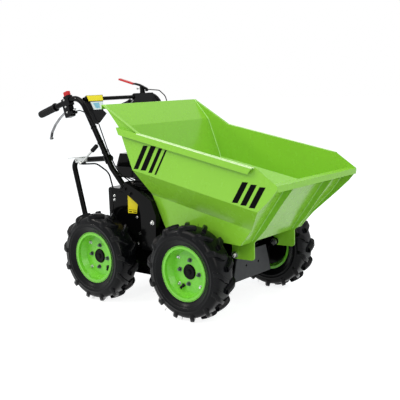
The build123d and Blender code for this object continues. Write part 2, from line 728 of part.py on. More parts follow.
gate_plane = Plane(
    origin=on_bar(-leaf_inner, tube_radius + seat_gap).origin, x_dir=(bar_run.X, 0, bar_run.Y),
    z_dir=(-bar_run.Y, 0, bar_run.X))
lever_run = Vector(lever_top[0] - lever_foot[0], lever_top[1] - lever_foot[1]).normalized()
with BuildPart() as shift_gate:
    with BuildSketch(gate_plane):
        with Locations((sum(gate_span) / 2, leaf_inner - lever_y)):
            Rectangle(gate_span[1] - gate_span[0], gate_width + gate_thick)
            SlotOverall(*gate_slot, mode=Mode.SUBTRACT)
    extrude(amount=gate_thick)
finish(shift_gate.part, "shift_gate")

# The lever swings on a boss that stands out from the upright leaf.
lever_plane = Plane(
    origin=(lever_foot[0], -lever_y, lever_foot[1]), x_dir=(0, 1, 0), z_dir=(lever_run.X, 0, lever_run.Y))
lever_length = (Vector(*lever_top) - Vector(*lever_foot)).length
with BuildPart() as shift_lever:
    with BuildSketch(lever_plane):
        Circle(lever_radius)
    extrude(amount=lever_length)
    with BuildSketch(at_y(-leaf_outer - clip_gap)):
        with Locations(lever_foot):
            Circle(lever_boss)
    extrude(amount=lever_y + lever_radius + boss_over - leaf_outer - clip_gap)
finish(shift_lever.part, "shift_lever")

with BuildPart() as shift_knob:
    with BuildSketch(lever_plane.offset(lever_length)):
        Circle(knob_radius)
    extrude(amount=knob_length)
    chamfer(shift_knob.faces().sort_by(Axis.Z)[-1].edges(), knob_bevel)
finish(shift_knob.part, "shift_knob")

# ---- hand controls --------------------------------------------------------------
panel_plane = Plane(
    origin=(crossbar_spot[0], panel_edge, crossbar_spot[1]), x_dir=(0, 1, 0),
    z_dir=(tube_run.Y, 0, -tube_run.X))
knee_panel_outline = [(-2 * panel_edge - across, up) for across, up in knee_outline]
for name, outline in (("dash_panel", panel_outline), ("knee_panel", knee_panel_outline)):
    with BuildPart() as panel:
        with BuildSketch(panel_plane):
            Polygon(outline, align=None)
        extrude(amount=panel_thick / 2, both=True)
        with BuildSketch(at_y(0)):
            with Locations(crossbar_spot):
                Circle(crossbar_radius + clip_gap)
        extrude(amount=handle_y, both=True, mode=Mode.SUBTRACT)
    finish(panel.part, name)

control_plane = along_handle(-1, housing_reach)
with BuildPart() as throttle_housing:
    with BuildSketch(control_plane):
        with Locations((0, housing_top - housing_size[1] / 2)):
            RectangleRounded(housing_size[0], housing_size[1], housing_round)
        with Locations((-switch_shift, 0)):
            Rectangle(switch_size[0], 2 * switch_seat)
        with Locations((-spout_size[0], housing_top - housing_size[1] + spout_size[1])):
            Rectangle(spout_size[0], spout_size[1])
    extrude(amount=housing_size[2] / 2, both=True)
    with BuildSketch(Plane(origin=control_plane.origin, z_dir=control_plane.x_dir)):
        Circle(tube_radius + clip_gap)
    extrude(amount=housing_size[0], both=True, mode=Mode.SUBTRACT)
finish(throttle_housing.part, "throttle_housing")

with BuildPart() as stop_switch:
    with BuildSketch(control_plane):
        with Locations((-switch_shift, switch_seat + seat_gap + switch_size[1] / 2)):
            RectangleRounded(switch_size[0], switch_size[1], switch_round)
    extrude(amount=switch_size[2] / 2, both=True)
finish(stop_switch.part, "stop_switch")

with BuildPart() as squeeze_lever:
    with BuildSketch(control_plane):
        Polygon(sheet_outline(squeeze_line, squeeze_bar[0]), align=None)
        with Locations(squeeze_line[-1]):
            Circle(squeeze_end)
    extrude(amount=squeeze_bar[1] / 2, both=True)
finish(squeeze_lever.part, "squeeze_lever")

# The drive lever turns on a pin between the two cheeks of its clamp.
clamp_plane = along_handle(1, clamp_reach)
cheek_inner = drive_arm[1] / 2 + seat_gap
with BuildPart() as lever_clamp:
    with BuildSketch(clamp_plane):
        Polygon(
            (clamp_size[0] / 2, 0), (-clamp_size[0] / 2, 0), (lever_pin[0] - cheek_radius, lever_pin[1]),
            (lever_pin[0] + cheek_radius, lever_pin[1]), align=None)
        with Locations(lever_pin):
            Circle(cheek_radius)
    extrude(amount=cheek_inner + cheek_thick, both=True)
    with BuildSketch(clamp_plane):
        Rectangle(4 * clamp_size[0], 4 * lever_pin[1])
    extrude(amount=cheek_inner, both=True, mode=Mode.SUBTRACT)
    with BuildSketch(clamp_plane):
        with Locations(lever_pin):
            Circle(pin_radius)
    extrude(amount=cheek_inner, both=True)
    with BuildSketch(Plane(origin=clamp_plane.origin, z_dir=clamp_plane.x_dir)):
        Circle(clamp_size[1])
    extrude(amount=clamp_size[0] / 2, both=True)
    with BuildSketch(Plane(origin=clamp_plane.origin, z_dir=clamp_plane.x_dir)):
        Circle(tube_radius + clip_gap)
    extrude(amount=clamp_size[0], both=True, mode=Mode.SUBTRACT)
finish(lever_clamp.part, "lever_clamp")

with BuildPart() as drive_lever:
    for line, height, width in (
            (drive_line[:-1], drive_arm[0], drive_arm[1]), (drive_line[-2:], drive_bar[0], drive_bar[1])):
        with BuildSketch(clamp_plane):
            Polygon(sheet_outline(line, height), align=None)
        extrude(amount=width / 2, both=True)
    with BuildSketch(clamp_plane):
        with Locations(drive_line[0]):
            Circle(drive_eye)
    extrude(amount=drive_arm[1] / 2, both=True)
    with BuildSketch(clamp_plane):
        with Locations(lever_pin):
            Circle(pin_radius + clip_gap)
    extrude(amount=drive_arm[1], both=True, mode=Mode.SUBTRACT)
finish(drive_lever.part, "drive_lever")

# The red sleeve wraps the lever's last run.
arm_start, arm_end = (Vector(*p) for p in drive_line[-2:])
arm_run = (arm_end - arm_start).normalized()
arm_side = Vector(-arm_run.Y, arm_run.X)
sleeve_length = (arm_end - arm_start).length - drive_arm[0]
sleeve_plane = Plane(
    origin=clamp_plane.from_local_coords(arm_start + arm_run * drive_arm[0] + arm_side * (drive_bar[0] / 2)),
    z_dir=clamp_plane.from_local_coords(arm_run) - clamp_plane.origin, x_dir=(0, 1, 0))
with BuildPart() as drive_lever_grip:
    with BuildSketch(sleeve_plane):
        RectangleRounded(drive_bar[1] + 2 * sleeve_wall, drive_bar[0] + 2 * sleeve_wall, 2.4)
    extrude(amount=sleeve_length + sleeve_wall)
    with BuildSketch(sleeve_plane):
        Rectangle(drive_bar[1], drive_bar[0])
    extrude(amount=sleeve_length, mode=Mode.SUBTRACT)
finish(drive_lever_grip.part, "drive_lever_grip")

# ---- cables, held all the way ------------------------------------------------------
# Each lies beside its handle tube: at an angle from the tube's front, outwards.
upper_front = Vector(tube_run.Y, -tube_run.X)
lower_front = Vector(foot_run.Y, -foot_run.X)
knee_front = (upper_front + lower_front) * (1 / (1 + upper_front.dot(lower_front)))
cable_reach = tube_radius + cable_radius + cable_gap


def beside_tube(side, angle, height):
    """Points along a handle tube: at a height on its long run, at the knee and above the foot."""
    ahead = cable_reach * cos(radians(angle))
    y = side * (handle_y + cable_reach * sin(radians(angle)))
    upper = Vector(*point_on(knee, crown, height)) + upper_front * ahead
    bend = Vector(*knee) + knee_front * ahead
    lower = Vector(*foot) + foot_run * cable_drop + lower_front * ahead
    return [(p.X, y, p.Y) for p in (upper, bend, lower)], handle_bends[0] - ahead


def cable(name, points, bends, radius):
    with BuildPart() as cord:
        with BuildLine() as route:
            FilletPolyline(*points, radius=bends)
        with BuildSketch(Plane(origin=route.line @ 0, z_dir=route.line % 0)):
            Circle(radius)
        sweep()
    finish(cord.part, name)


spout = control_plane.from_local_coords(
    (-1.5 * spout_size[0] - cable_end_gap, housing_top - housing_size[1] + spout_size[1]))
cable_end_y = shroud_middle[1] - shroud_depth / 2 - fin_size[0] - cable_end_gap
held, knee_bend = beside_tube(-1, 45, throttle_height)
cable(
    "throttle_cable",
    [spout, *throttle_top, *held, *throttle_low, (throttle_low[-1][0], cable_end_y, fin_heights[3])],
    [*throttle_bends, knee_bend, *throttle_low_bends], cable_radius)

panel_foot = panel_plane.from_local_coords(
    (panel_outline[-2][0] - panel_exit, panel_outline[-2][1] - panel_exit))
held, knee_bend = beside_tube(-1, -45, switch_height)
cable(
    "switch_cable",
    [panel_foot, *held, *switch_low, (switch_hole_x, cable_end_y, fin_heights[1])],
    [switch_bend, knee_bend, *switch_low_bends], cable_radius)

lever_end = clamp_plane.from_local_coords((drive_line[0][0] - drive_eye - cable_end_gap, drive_line[0][1]))
held, knee_bend = beside_tube(1, 0, drive_height)
cable(
    "drive_cable",
    [lever_end, *drive_top, *held, *drive_low, (*drive_hole, frame_top + seat_gap)],
    [*drive_bends, knee_bend, *drive_low_bends], cable_radius)

boss_front = Vector(lever_foot[0], -lever_y, lever_foot[1])
boss_reach = lever_boss + 1.6 * cable_end_gap
boss_front += Vector(boss_reach * cos(radians(boss_angle)), 0, -boss_reach * sin(radians(boss_angle)))
cable(
    "shift_cable",
    [boss_front, (shift_low[0][0], -lever_y, shift_low[0][1]), shift_low[1],
     (*shift_hole, cover_z[1] + seat_gap)],
    shift_bends, shift_cable_radius)
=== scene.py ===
"""Looks of the walk-behind site dumper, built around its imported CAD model.

Lengths are written in millimetres and multiplied by MM, except in the studio at the end.
"""
import json
import math
import random

import bmesh
import bpy
from mathutils import Matrix, Vector


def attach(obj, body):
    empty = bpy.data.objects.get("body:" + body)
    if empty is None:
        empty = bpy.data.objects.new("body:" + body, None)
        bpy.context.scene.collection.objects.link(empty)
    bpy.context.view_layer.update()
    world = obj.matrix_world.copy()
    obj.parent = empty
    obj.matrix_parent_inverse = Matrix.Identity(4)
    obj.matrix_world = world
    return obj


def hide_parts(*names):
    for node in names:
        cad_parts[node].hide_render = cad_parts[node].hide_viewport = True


MM = 0.001
LEFT, RIGHT = 1, -1
HANDS = (LEFT, RIGHT)
SIDES = (("left", LEFT), ("right", RIGHT))
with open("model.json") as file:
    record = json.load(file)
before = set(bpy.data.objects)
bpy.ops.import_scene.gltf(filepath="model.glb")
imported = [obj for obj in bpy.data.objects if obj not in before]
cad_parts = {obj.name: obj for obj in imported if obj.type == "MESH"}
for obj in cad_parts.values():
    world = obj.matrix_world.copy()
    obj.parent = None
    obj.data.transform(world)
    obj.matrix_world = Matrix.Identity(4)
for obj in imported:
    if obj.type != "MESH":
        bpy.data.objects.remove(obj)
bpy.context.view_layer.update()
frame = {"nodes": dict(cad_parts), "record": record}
nodes = frame["nodes"]

# ---- driving dimensions, as in the CAD model ----------------------------------
AXLES = (("front", 263.0), ("rear", -263.0))    # name and x of each axle
AXLE_HEIGHT = 200.0
TRACK_HALF = 302.0              # a wheel's middle from the machine's middle
FRAME_HALF = 138.0              # outer face of a chassis side
FRAME_TOP = 300.0
ARM_HALF = 260.5                # outer face of an upright
COVER_HALF = 202.0              # outer face of the belt cover
HINGE = (383.0, 256.0)          # x, z of the tipping axis
HANDLE_HALF = 248.0             # middle of a handlebar tube


# ---- materials ---------------------------------------------------------------
DRIFT_STOPS = (0.3, 0.7)        # the middle part of a noise, where most of it lies
MOTTLE_SCALE = 12               # how much finer roughness varies than colour
ROUGH_RANGE = (0.88, 1.12)
GRAIN_HEIGHT = 0.3
COAT_ROUGH = 0.06
EDGE_SAMPLES = 4
finishes = {}


def new_material(name):
    mat = bpy.data.materials.new(name)
    mat.use_nodes = True
    tree = mat.node_tree
    tree.nodes.clear()
    out = tree.nodes.new("ShaderNodeOutputMaterial")
    bsdf = tree.nodes.new("ShaderNodeBsdfPrincipled")
    tree.links.new(bsdf.outputs[0], out.inputs[0])
    return mat, tree, bsdf


def noise(tree, coords, scale, detail=3.0, rough=0.55):
    node = tree.nodes.new("ShaderNodeTexNoise")
    node.inputs["Scale"].default_value = scale
    node.inputs["Detail"].default_value = detail
    node.inputs["Roughness"].default_value = rough
    tree.links.new(coords, node.inputs["Vector"])
    return node.outputs[0]


def ramp(tree, source, low_colour, high_colour):
    """Map a noise to the range between two colours."""
    node = tree.nodes.new("ShaderNodeValToRGB")
    for element, stop, colour in zip(node.color_ramp.elements, DRIFT_STOPS, (low_colour, high_colour)):
        element.position = stop
        element.color = (*colour, 1)
    tree.links.new(source, node.inputs[0])
    return node.outputs[0]


def grey(value):
    return (value, value, value)


def surface(name, colour, rough, spread=0.1, drift=3.0, grain=500, depth=0.05, edge=0.8,
            specular=0.5, coat=0.0, metallic=0.0):
    """A finish: drifting colour, uneven roughness, fine grain, edges rounded by edge millimetres."""
    mat, tree, bsdf = new_material(name)
    coords = tree.nodes.new("ShaderNodeTexCoord").outputs["Object"]
    darker = tuple(c * (1 - spread) for c in colour)
    lighter = tuple(min(1.0, c * (1 + spread)) for c in colour)
    tree.links.new(ramp(tree, noise(tree, coords, drift), darker, lighter), bsdf.inputs["Base Color"])
    smoother, rougher = (grey(min(1.0, rough * factor)) for factor in ROUGH_RANGE)
    mottle = noise(tree, coords, drift * MOTTLE_SCALE)
    tree.links.new(ramp(tree, mottle, smoother, rougher), bsdf.inputs["Roughness"])
    bevel = tree.nodes.new("ShaderNodeBevel")
    bevel.samples = EDGE_SAMPLES
    bevel.inputs["Radius"].default_value = edge * MM
    bump = tree.nodes.new("ShaderNodeBump")
    bump.inputs["Strength"].default_value = depth
    bump.inputs["Distance"].default_value = GRAIN_HEIGHT * MM
    tree.links.new(noise(tree, coords, grain, 2.0), bump.inputs["Height"])
    tree.links.new(bevel.outputs[0], bump.inputs["Normal"])
    tree.links.new(bump.outputs[0], bsdf.inputs["Normal"])
    bsdf.inputs["Specular IOR Level"].default_value = specular
    bsdf.inputs["Coat Weight"].default_value = coat
    bsdf.inputs["Coat Roughness"].default_value = COAT_ROUGH
    bsdf.inputs["Metallic"].default_value = metallic
    finishes[name] = mat


def paints():
    surface("green_paint", (0.235, 0.535, 0.034), 0.26, spread=0.03, drift=2.0, depth=0.008, edge=1.2,
            specular=0.30, coat=0.15)
    surface("rim_paint", (0.165, 0.555, 0.034), 0.28, spread=0.05, drift=4.0, depth=0.01, edge=1.0,
            specular=0.35, coat=0.2)
    surface("black_paint", (0.0018, 0.0018, 0.0020), 0.13, spread=0.2, drift=4.0, depth=0.02, edge=1.2,
            specular=0.08)
    surface("grey_paint", (0.026, 0.027, 0.030), 0.38, drift=4.0, depth=0.03, edge=1.2, specular=0.20)


def rubbers_and_plastics():
    surface("tyre_rubber", (0.0026, 0.0028, 0.0034), 0.36, spread=0.3, drift=14.0, depth=0.25, edge=1.6,
            specular=0.09)
    surface("grip_rubber", (0.0040, 0.0040, 0.0045), 0.42, spread=0.3, drift=14.0, grain=900, depth=0.3,
            specular=0.14)
    surface("black_plastic", (0.0034, 0.0034, 0.0042), 0.26, spread=0.25, drift=9.0, grain=1100, depth=0.2,
            edge=1.0, specular=0.10)
    surface("red_plastic", (0.50, 0.010, 0.012), 0.30, drift=9.0, grain=900, depth=0.1, edge=0.6,
            specular=0.3)


def metals():
    surface("zinc", (0.55, 0.56, 0.55), 0.26, spread=0.15, drift=45.0, grain=900, depth=0.1, edge=0.5,
            metallic=1.0)
    surface("engine_metal", (0.0045, 0.0045, 0.0055), 0.34, spread=0.3, drift=9.0, grain=450, depth=0.35,
            specular=0.13)
    surface("exhaust_steel", (0.14, 0.13, 0.125), 0.45, spread=0.25, drift=25.0, grain=700, depth=0.15,
            metallic=1.0)


def own_finishes():
    """Finishes for pieces that stand over a CAD material: films, beads, special metals, and two light greens
    that are painted highlights.
    """
    surface("tyre_gloss", (0.0024, 0.0027, 0.0034), 0.24, spread=0.35, drift=20.0, grain=420, depth=0.3,
            edge=2.2, specular=0.12)
    film = {"rough": 0.35, "depth": 0.03, "edge": 0.3, "specular": 0.3}
    surface("black_film", (0.0012, 0.0012, 0.0014), 0.35, spread=0.15, drift=6.0, grain=400, depth=0.03,
            edge=0.2, specular=0.04)
    surface("yellow_film", (0.80, 0.66, 0.015), spread=0.05, drift=8.0, **film)
    surface("white_film", (0.66, 0.72, 0.74), spread=0.04, drift=8.0, **film)
    surface("blue_film", (0.20, 0.46, 0.58), spread=0.12, drift=60.0, **film)
    # A green lighter than the skip's paint: the welds' shape is real, and their lighter colour is a painted
    # highlight.
    surface("painted_highlight_welds", (0.36, 0.68, 0.14), 0.22, drift=30.0, edge=0.3, coat=0.4)
    # A pale green far lighter than the skip's paint: a painted highlight along the flanges' rounded edges.
    surface("painted_highlight_edges", (0.66, 0.84, 0.46), 0.18, drift=30.0, edge=0.3, coat=0.6)
    surface("dark_zinc", (0.10, 0.11, 0.12), 0.30, spread=0.3, drift=45.0, grain=900, depth=0.1, edge=0.5,
            metallic=1.0)
    surface("cast_alloy", (0.26, 0.26, 0.27), 0.30, spread=0.15, drift=30.0, grain=900, depth=0.1,
            metallic=1.0)


def dress_cad():
    """Give each CAD node the finish of its slot; the squeeze lever is bare alloy."""
    slot_of = {part["node"]: part["material_slot"] for part in frame["record"]["subparts"]}
    for name, node in nodes.items():
        finish = "cast_alloy" if name == "squeeze_lever" else slot_of[name]
        for material_slot in node.material_slots:
            material_slot.material = finishes[finish]


paints()
rubbers_and_plastics()
metals()
own_finishes()
dress_cad()


# ---- closed forms that the small pieces are put together from ------------------
class Shape:
    """Points and faces of one piece."""

    def __init__(self):
        self.points = []
        self.faces = []

    def add(self, form, place=Matrix()):
        points, faces = form
        base = len(self.points)
        self.points += [place @ Vector(p) for p in points]
        self.faces += [tuple(base + i for i in face) for face in faces]
        return self


CREASE = 40.0                   # faces that meet at more than this stay sharp
CORNER_REACH = 1.3              # a bevel's inset, as measured towards the middle from a corner


def make(name, shape, body, slot, finish=None, crease=CREASE):
    """Turn a shape into a piece that rides a body; its finish is its slot's unless named."""
    mesh = bpy.data.meshes.new(name)
    mesh.from_pydata([tuple(p) for p in shape.points], [], shape.faces)
    work = bmesh.new()
    work.from_mesh(mesh)
    bmesh.ops.recalc_face_normals(work, faces=work.faces)
    work.to_mesh(mesh)
    work.free()
    mesh.materials.append(finishes[finish or slot])
    mesh.shade_smooth()
    mesh.set_sharp_from_angle(angle=math.radians(crease))
    piece = bpy.data.objects.new(name, mesh)
    bpy.context.collection.objects.link(piece)
    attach(piece, body)
    return piece


def facing(spot, direction, turn=0.0):
    """Place a form at a spot, in millimetres, with its local z along a direction."""
    aim = Vector(direction).normalized().to_track_quat("Z", "Y").to_matrix().to_4x4()
    return Matrix.Translation(Vector(spot) * MM) @ aim @ Matrix.Rotation(math.radians(turn), 4, "Z")


def lathe(profile, sides=24):
    """Turn (height, radius) points, in millimetres, about z; both ends are closed flat."""
    points, faces = [], []
    for height, radius in profile:
        for k in range(sides):
            angle = 2 * math.pi * k / sides
            points.append((radius * math.cos(angle) * MM, radius * math.sin(angle) * MM, height * MM))
    for row in range(len(profile) - 1):
        for k in range(sides):
            a, b = row * sides + k, row * sides + (k + 1) % sides
            faces.append((a, b, b + sides, a + sides))
    faces.append(tuple(range(sides))[::-1])
    faces.append(tuple(range((len(profile) - 1) * sides, len(profile) * sides)))
    return points, faces


def hoop(profile, sides=48):
    """Turn a closed loop of (height, radius) points, in millimetres, about z."""
    rows = len(profile)
    points, faces = [], []
    for k in range(sides):
        angle = 2 * math.pi * k / sides
        for height, radius in profile:
            points.append((radius * math.cos(angle) * MM, radius * math.sin(angle) * MM, height * MM))
    for k in range(sides):
        for row in range(rows):
            a, b = k * rows + row, k * rows + (row + 1) % rows
            shift = ((k + 1) % sides - k) * rows
            faces.append((a, b, b + shift, a + shift))
    return points, faces


def prism(outline, low, high, bevel=0.0):
    """Raise an outline of (x, y) points from low to high, with a bevelled top edge."""
    middle = Vector((sum(p[0] for p in outline), sum(p[1] for p in outline))) / len(outline)
    rows = [(low, 0.0), (high, 0.0)] if not bevel else [(low, 0.0), (high - bevel, 0.0), (high, bevel)]
    count = len(outline)
    points, faces = [], []
    for height, inset in rows:
        for p in outline:
            point = Vector(p)
            point += (middle - point).normalized() * inset * CORNER_REACH
            points.append((point.x * MM, point.y * MM, height * MM))
    for row in range(len(rows) - 1):
        for k in range(count):
            a, b = row * count + k, row * count + (k + 1) % count
            faces.append((a, b, b + count, a + count))
    faces.append(tuple(range(count))[::-1])
    faces.append(tuple(range((len(rows) - 1) * count, len(rows) * count)))
    return points, faces


def rounded(width, height, radius, steps=5):
    """Outline of a rectangle with round corners, about its middle."""
    outline = []
    for corner, (sx, sy) in enumerate(((1, 1), (-1, 1), (-1, -1), (1, -1))):
        for k in range(steps + 1):
            angle = math.radians(90 * (corner + k / steps))
            outline.append((
                sx * (width / 2 - radius) + radius * math.cos(angle),
                sy * (height / 2 - radius) + radius * math.sin(angle)))
    return outline


def tube(route, radius, sides=10, swell=None):
    """A closed tube along points in millimetres; swell gives the radius' factor at each."""
    spots = [Vector(p) for p in route]
    points, faces = [], []
    across = None
    for i, spot in enumerate(spots):
        along = (spots[min(i + 1, len(spots) - 1)] - spots[max(i - 1, 0)]).normalized()
        if across is None:
            across = along.orthogonal().normalized()
        across = (across - along * across.dot(along)).normalized()
        other = along.cross(across)
        size = radius * (swell[i] if swell else 1.0)
        for k in range(sides):
            angle = 2 * math.pi * k / sides
            point = spot + (across * math.cos(angle) + other * math.sin(angle)) * size
            points.append(tuple(point * MM))
    for i in range(len(spots) - 1):
        for k in range(sides):
            a, b = i * sides + k, i * sides + (k + 1) % sides
            faces.append((a, b, b + sides, a + sides))
    faces.append(tuple(range(sides))[::-1])
    faces.append(tuple(range((len(spots) - 1) * sides, len(spots) * sides)))
    return points, faces


def bolt(shape, spot, direction, across, washer=1.5, height=None, stud=0.0, turn=0.0):
    """A hexagon head or nut on a washer, sunk a little; a nut shows the stud's end."""
    height = height or 0.62 * across
    place = facing(spot, direction, turn)
    corner = across / math.cos(math.radians(30)) / 2
    top = washer + height
    plate = [(-0.2, corner * 1.3), (washer * 0.7, corner * 1.3), (washer, corner * 1.22)]
    head = [(washer, corner), (washer + height * 0.8, corner), (top, corner * 0.84)]
    shape.add(lathe(plate, 20), place)
    shape.add(lathe(head, 6), place)
    if stud:
        end = [(washer, across * 0.3), (top + stud - 1, across * 0.3), (top + stud, across * 0.22)]
        shape.add(lathe(end, 14), place)


def line_points(points, step):
    """Points evenly spaced along straight runs."""
    spots = [Vector(p) for p in points]
    route = [spots[0]]
    for start, end in zip(spots, spots[1:]):
        count = max(1, round((end - start).length / step))
        route += [start.lerp(end, k / count) for k in range(1, count + 1)]
    return route


# ---- tyres -------------------------------------------------------------------
LUG_COUNT = 13
LUG_LEAD = 32.0                 # a lug's leading edge at the middle of the tread
LUG_SWEEP = 40.0                # how far a lug trails back from there to the shoulder
LUG_THICK = 24.0
LUG_BOW = 4.0
LUG_FLARE = 3.0                 # spread of a lug's foot on each flank
LUG_BEVEL = 2.6
LUG_REACH = 190.0               # radius at which the lug's lengths are measured
CARCASS_SIDES = 104
TYRE_CREASE = 38.0
CARCASS = (                     # half width, radius: from the bead up the sidewall
    (41.5, 104.5), (42.5, 117.5), (45.5, 122.5), (50.0, 129.5), (53.2, 134.5), (54.6, 138.0),
    (55.6, 139.0), (55.8, 141.5), (54.9, 142.5), (55.2, 150.0), (55.9, 151.0), (55.9, 153.5),
    (55.0, 154.5), (54.2, 163.0), (52.0, 171.0), (48.5, 177.0), (44.0, 181.0), (36.0, 183.4),
    (22.0, 184.6), (0.0, 185.0))
LUG_TOP = (                     # half width, radius along the middle of a lug's top
    (2.5, 198.4), (10.0, 199.3), (22.0, 199.6), (34.0, 199.2), (42.5, 197.6), (47.8, 194.0),
    (51.6, 188.4), (54.2, 181.0), (55.7, 172.5), (55.9, 165.0))
LUG_ROOT = (                    # the same along its foot, a little inside the carcass
    (2.5, 181.0), (9.0, 181.0), (20.0, 181.0), (31.0, 180.0), (39.0, 178.5), (43.0, 175.5),
    (46.0, 172.0), (48.0, 168.0), (49.5, 164.5), (50.5, 161.0))
HAIRS_PER_LUG = 4
HAIR_LIMIT = (55.6, 199.4)      # half width and radius that no hair passes
HAIR_FOOT = (                   # angle and width of a foot's corners from its middle
    (-0.0035, -0.5), (0.0035, -0.5), (0.0, 0.7))
chance = random.Random(5)


def on_wheel(angle, half_width, radius, hand):
    """A point of a wheel: the angle turns about +Y, starting at the top."""
    return (radius * math.sin(angle) * MM, hand * half_width * MM, radius * math.cos(angle) * MM)


def tyre_lug(hand, turn):
    """One curved, bevelled lug that wraps over the shoulder, as rows of six points."""
    points, faces = [], []
    stations = len(LUG_TOP)
    for top, root in zip(LUG_TOP, LUG_ROOT):
        share = top[0] / LUG_TOP[-1][0]
        bow = LUG_BOW * math.sin(math.pi * share)
        middle = LUG_LEAD - LUG_THICK / 2 - LUG_SWEEP * share + bow
        half = LUG_THICK / 2 * (0.80 + 0.16 * share)
        edge = (root[0] * 0.15 + top[0] * 0.85, root[1] * 0.15 + top[1] * 0.85)
        flank = ((half + LUG_FLARE, root), (half, edge), (half - LUG_BEVEL, top))
        section = [(-offset, spot) for offset, spot in flank] + list(flank[::-1])
        for offset, spot in section:
            points.append(on_wheel(turn + (middle + offset) / LUG_REACH, spot[0], spot[1], hand))
    for i in range(stations - 1):
        for k in range(6):
            a, b = i * 6 + k, i * 6 + (k + 1) % 6
            faces.append((a, b, b + 6, a + 6))
    faces.append(tuple(range(6))[::-1])
    faces.append(tuple(range((stations - 1) * 6, stations * 6)))
    return points, faces


def moulding_hair(hand, turn):
    """A thin vent hair on a lug's flank, pointing outwards within the tyre's radius."""
    half_width = chance.uniform(30.0, 53.0)
    radius = chance.uniform(178.0, 186.0)
    flank = chance.choice((-1, 1)) * chance.uniform(0.075, 0.10)
    angle = turn + flank - half_width / LUG_TOP[-1][0] * 0.20
    lean = chance.uniform(-0.025, 0.025)
    tip_radius = min(HAIR_LIMIT[1], radius + chance.uniform(10.0, 15.0))
    foot = [on_wheel(angle + aside, half_width + out, radius, hand) for aside, out in HAIR_FOOT]
    tip_width = min(HAIR_LIMIT[0], half_width + chance.uniform(0.0, 3.0))
    tip = on_wheel(angle + lean, tip_width, tip_radius, hand)
    return foot + [tip], [(0, 1, 2), (0, 3, 1), (1, 3, 2), (2, 3, 0)]


def tyre(place_name, side, axle_x):
    """Carcass, two rows of lugs half a pitch apart, and hairs; it replaces the CAD tyre."""
    shape = Shape()
    far_half = [(-y, r) for y, r in CARCASS[::-1] if y]
    shape.add(hoop(list(CARCASS) + far_half, CARCASS_SIDES), Matrix.Rotation(math.radians(-90), 4, "X"))
    pitch = 2 * math.pi / LUG_COUNT
    first = math.radians(180) - math.asin(LUG_LEAD / AXLE_HEIGHT)
    for hand, shift in ((1, 0.0), (-1, pitch / 2)):
        for k in range(LUG_COUNT):
            turn = first + shift + k * pitch
            shape.add(tyre_lug(hand, turn))
            for _ in range(HAIRS_PER_LUG):
                shape.add(moulding_hair(hand, turn))
    place = Matrix.Translation(Vector((axle_x, side * TRACK_HALF, AXLE_HEIGHT)) * MM)
    if side == RIGHT:
        place = place @ Matrix.Diagonal((1, -1, 1, 1))
    shape.points = [place @ p for p in shape.points]
    body = f"wheel_{place_name}"
    piece = make(f"tyre_form_{place_name}", shape, body, "tyre_rubber", "tyre_gloss", TYRE_CREASE)
    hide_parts(f"tyre_{place_name}")


# ---- what is bolted to the wheels ------------------------------------------------
NUT_CIRCLE = 50.0
NUT_TURN = 6                    # degrees from the top to the first nut
RIM_BOLT_CIRCLE = 79.0
RIM_BOLT_TURN = 45
DISC_FACE = 3.2                 # from the wheel's middle out to the rim disc
CAP_FACE = 7.9                  # the same for the hub cap
RIM_EDGE = 41.3                 # and for the rim's edge
VALVE_CIRCLE = 66.0
VALVE_LEAN = 0.9                # outwards from the wheel's middle, for each unit along the axle
VALVE_ANGLE = {"front": 209.0, "rear": 132.0}
VALVE = ((0, 9.0), (3, 8.6), (6, 6.2), (15, 5.2), (16, 5.8), (21, 5.6), (22, 4.0))
EDGE_BEAD = ((0.0, 112.0), (1.6, 112.6), (2.4, 114.0), (1.6, 115.0), (0.0, 115.0))
CAP_RING = ((0.0, 20.0), (1.2, 20.5), (1.2, 27.5), (0.0, 28.0))
CAP_BOSS = ((0.0, 12.0), (2.5, 11.6), (4.0, 9.0), (4.4, 3.0))


def wheel_fittings(place_name, side, axle, axle_x):
    """Nuts, rim bolts, valve, the rim's edge bead and the hub cap's ring."""
    body = f"wheel_{place_name}"
    outward = (0, side, 0)

    def spot(angle, radius, lift=0.0):
        a = math.radians(angle)
        out = side * (TRACK_HALF + DISC_FACE + lift)
        return (axle_x + radius * math.sin(a), out, AXLE_HEIGHT + radius * math.cos(a))

    def face(out):
        return facing((axle_x, side * (TRACK_HALF + out), AXLE_HEIGHT), outward)

    nuts, bolts = Shape(), Shape()
    for k in range(4):
        bolt(nuts, spot(90 * k + NUT_TURN, NUT_CIRCLE), outward, 13.0, 1.6, 9.0, 4.5, 11 * k)
        bolt(bolts, spot(90 * k + RIM_BOLT_TURN, RIM_BOLT_CIRCLE), outward, 11.0, 1.2, 5.5, 0.0, 17 * k)
    make(f"wheel_nuts_{place_name}", nuts, body, "zinc", "dark_zinc")
    make(f"rim_bolts_{place_name}", bolts, body, "zinc")

    foot = Vector(spot(VALVE_ANGLE[axle], VALVE_CIRCLE, -0.5))
    away = (foot - Vector(spot(0, 0))).normalized()
    lean = (Vector(outward) + away * VALVE_LEAN).normalized()
    valve = Shape().add(lathe(VALVE, 16), facing(foot, lean))
    make(f"valve_{place_name}", valve, body, "tyre_rubber", "grip_rubber")

    make(f"rim_edge_{place_name}", Shape().add(hoop(EDGE_BEAD, 96), face(RIM_EDGE)), body, "rim_paint")
    cap = Shape().add(hoop(CAP_RING, 48), face(CAP_FACE))
    cap.add(lathe(CAP_BOSS, 32), face(CAP_FACE))
    make(f"cap_ring_{place_name}", cap, body, "black_paint")


for axle, axle_x in AXLES:
    for side_name, side in SIDES:
        tyre(f"{axle}_{side_name}", side, axle_x)
        wheel_fittings(f"{axle}_{side_name}", side, axle, axle_x)


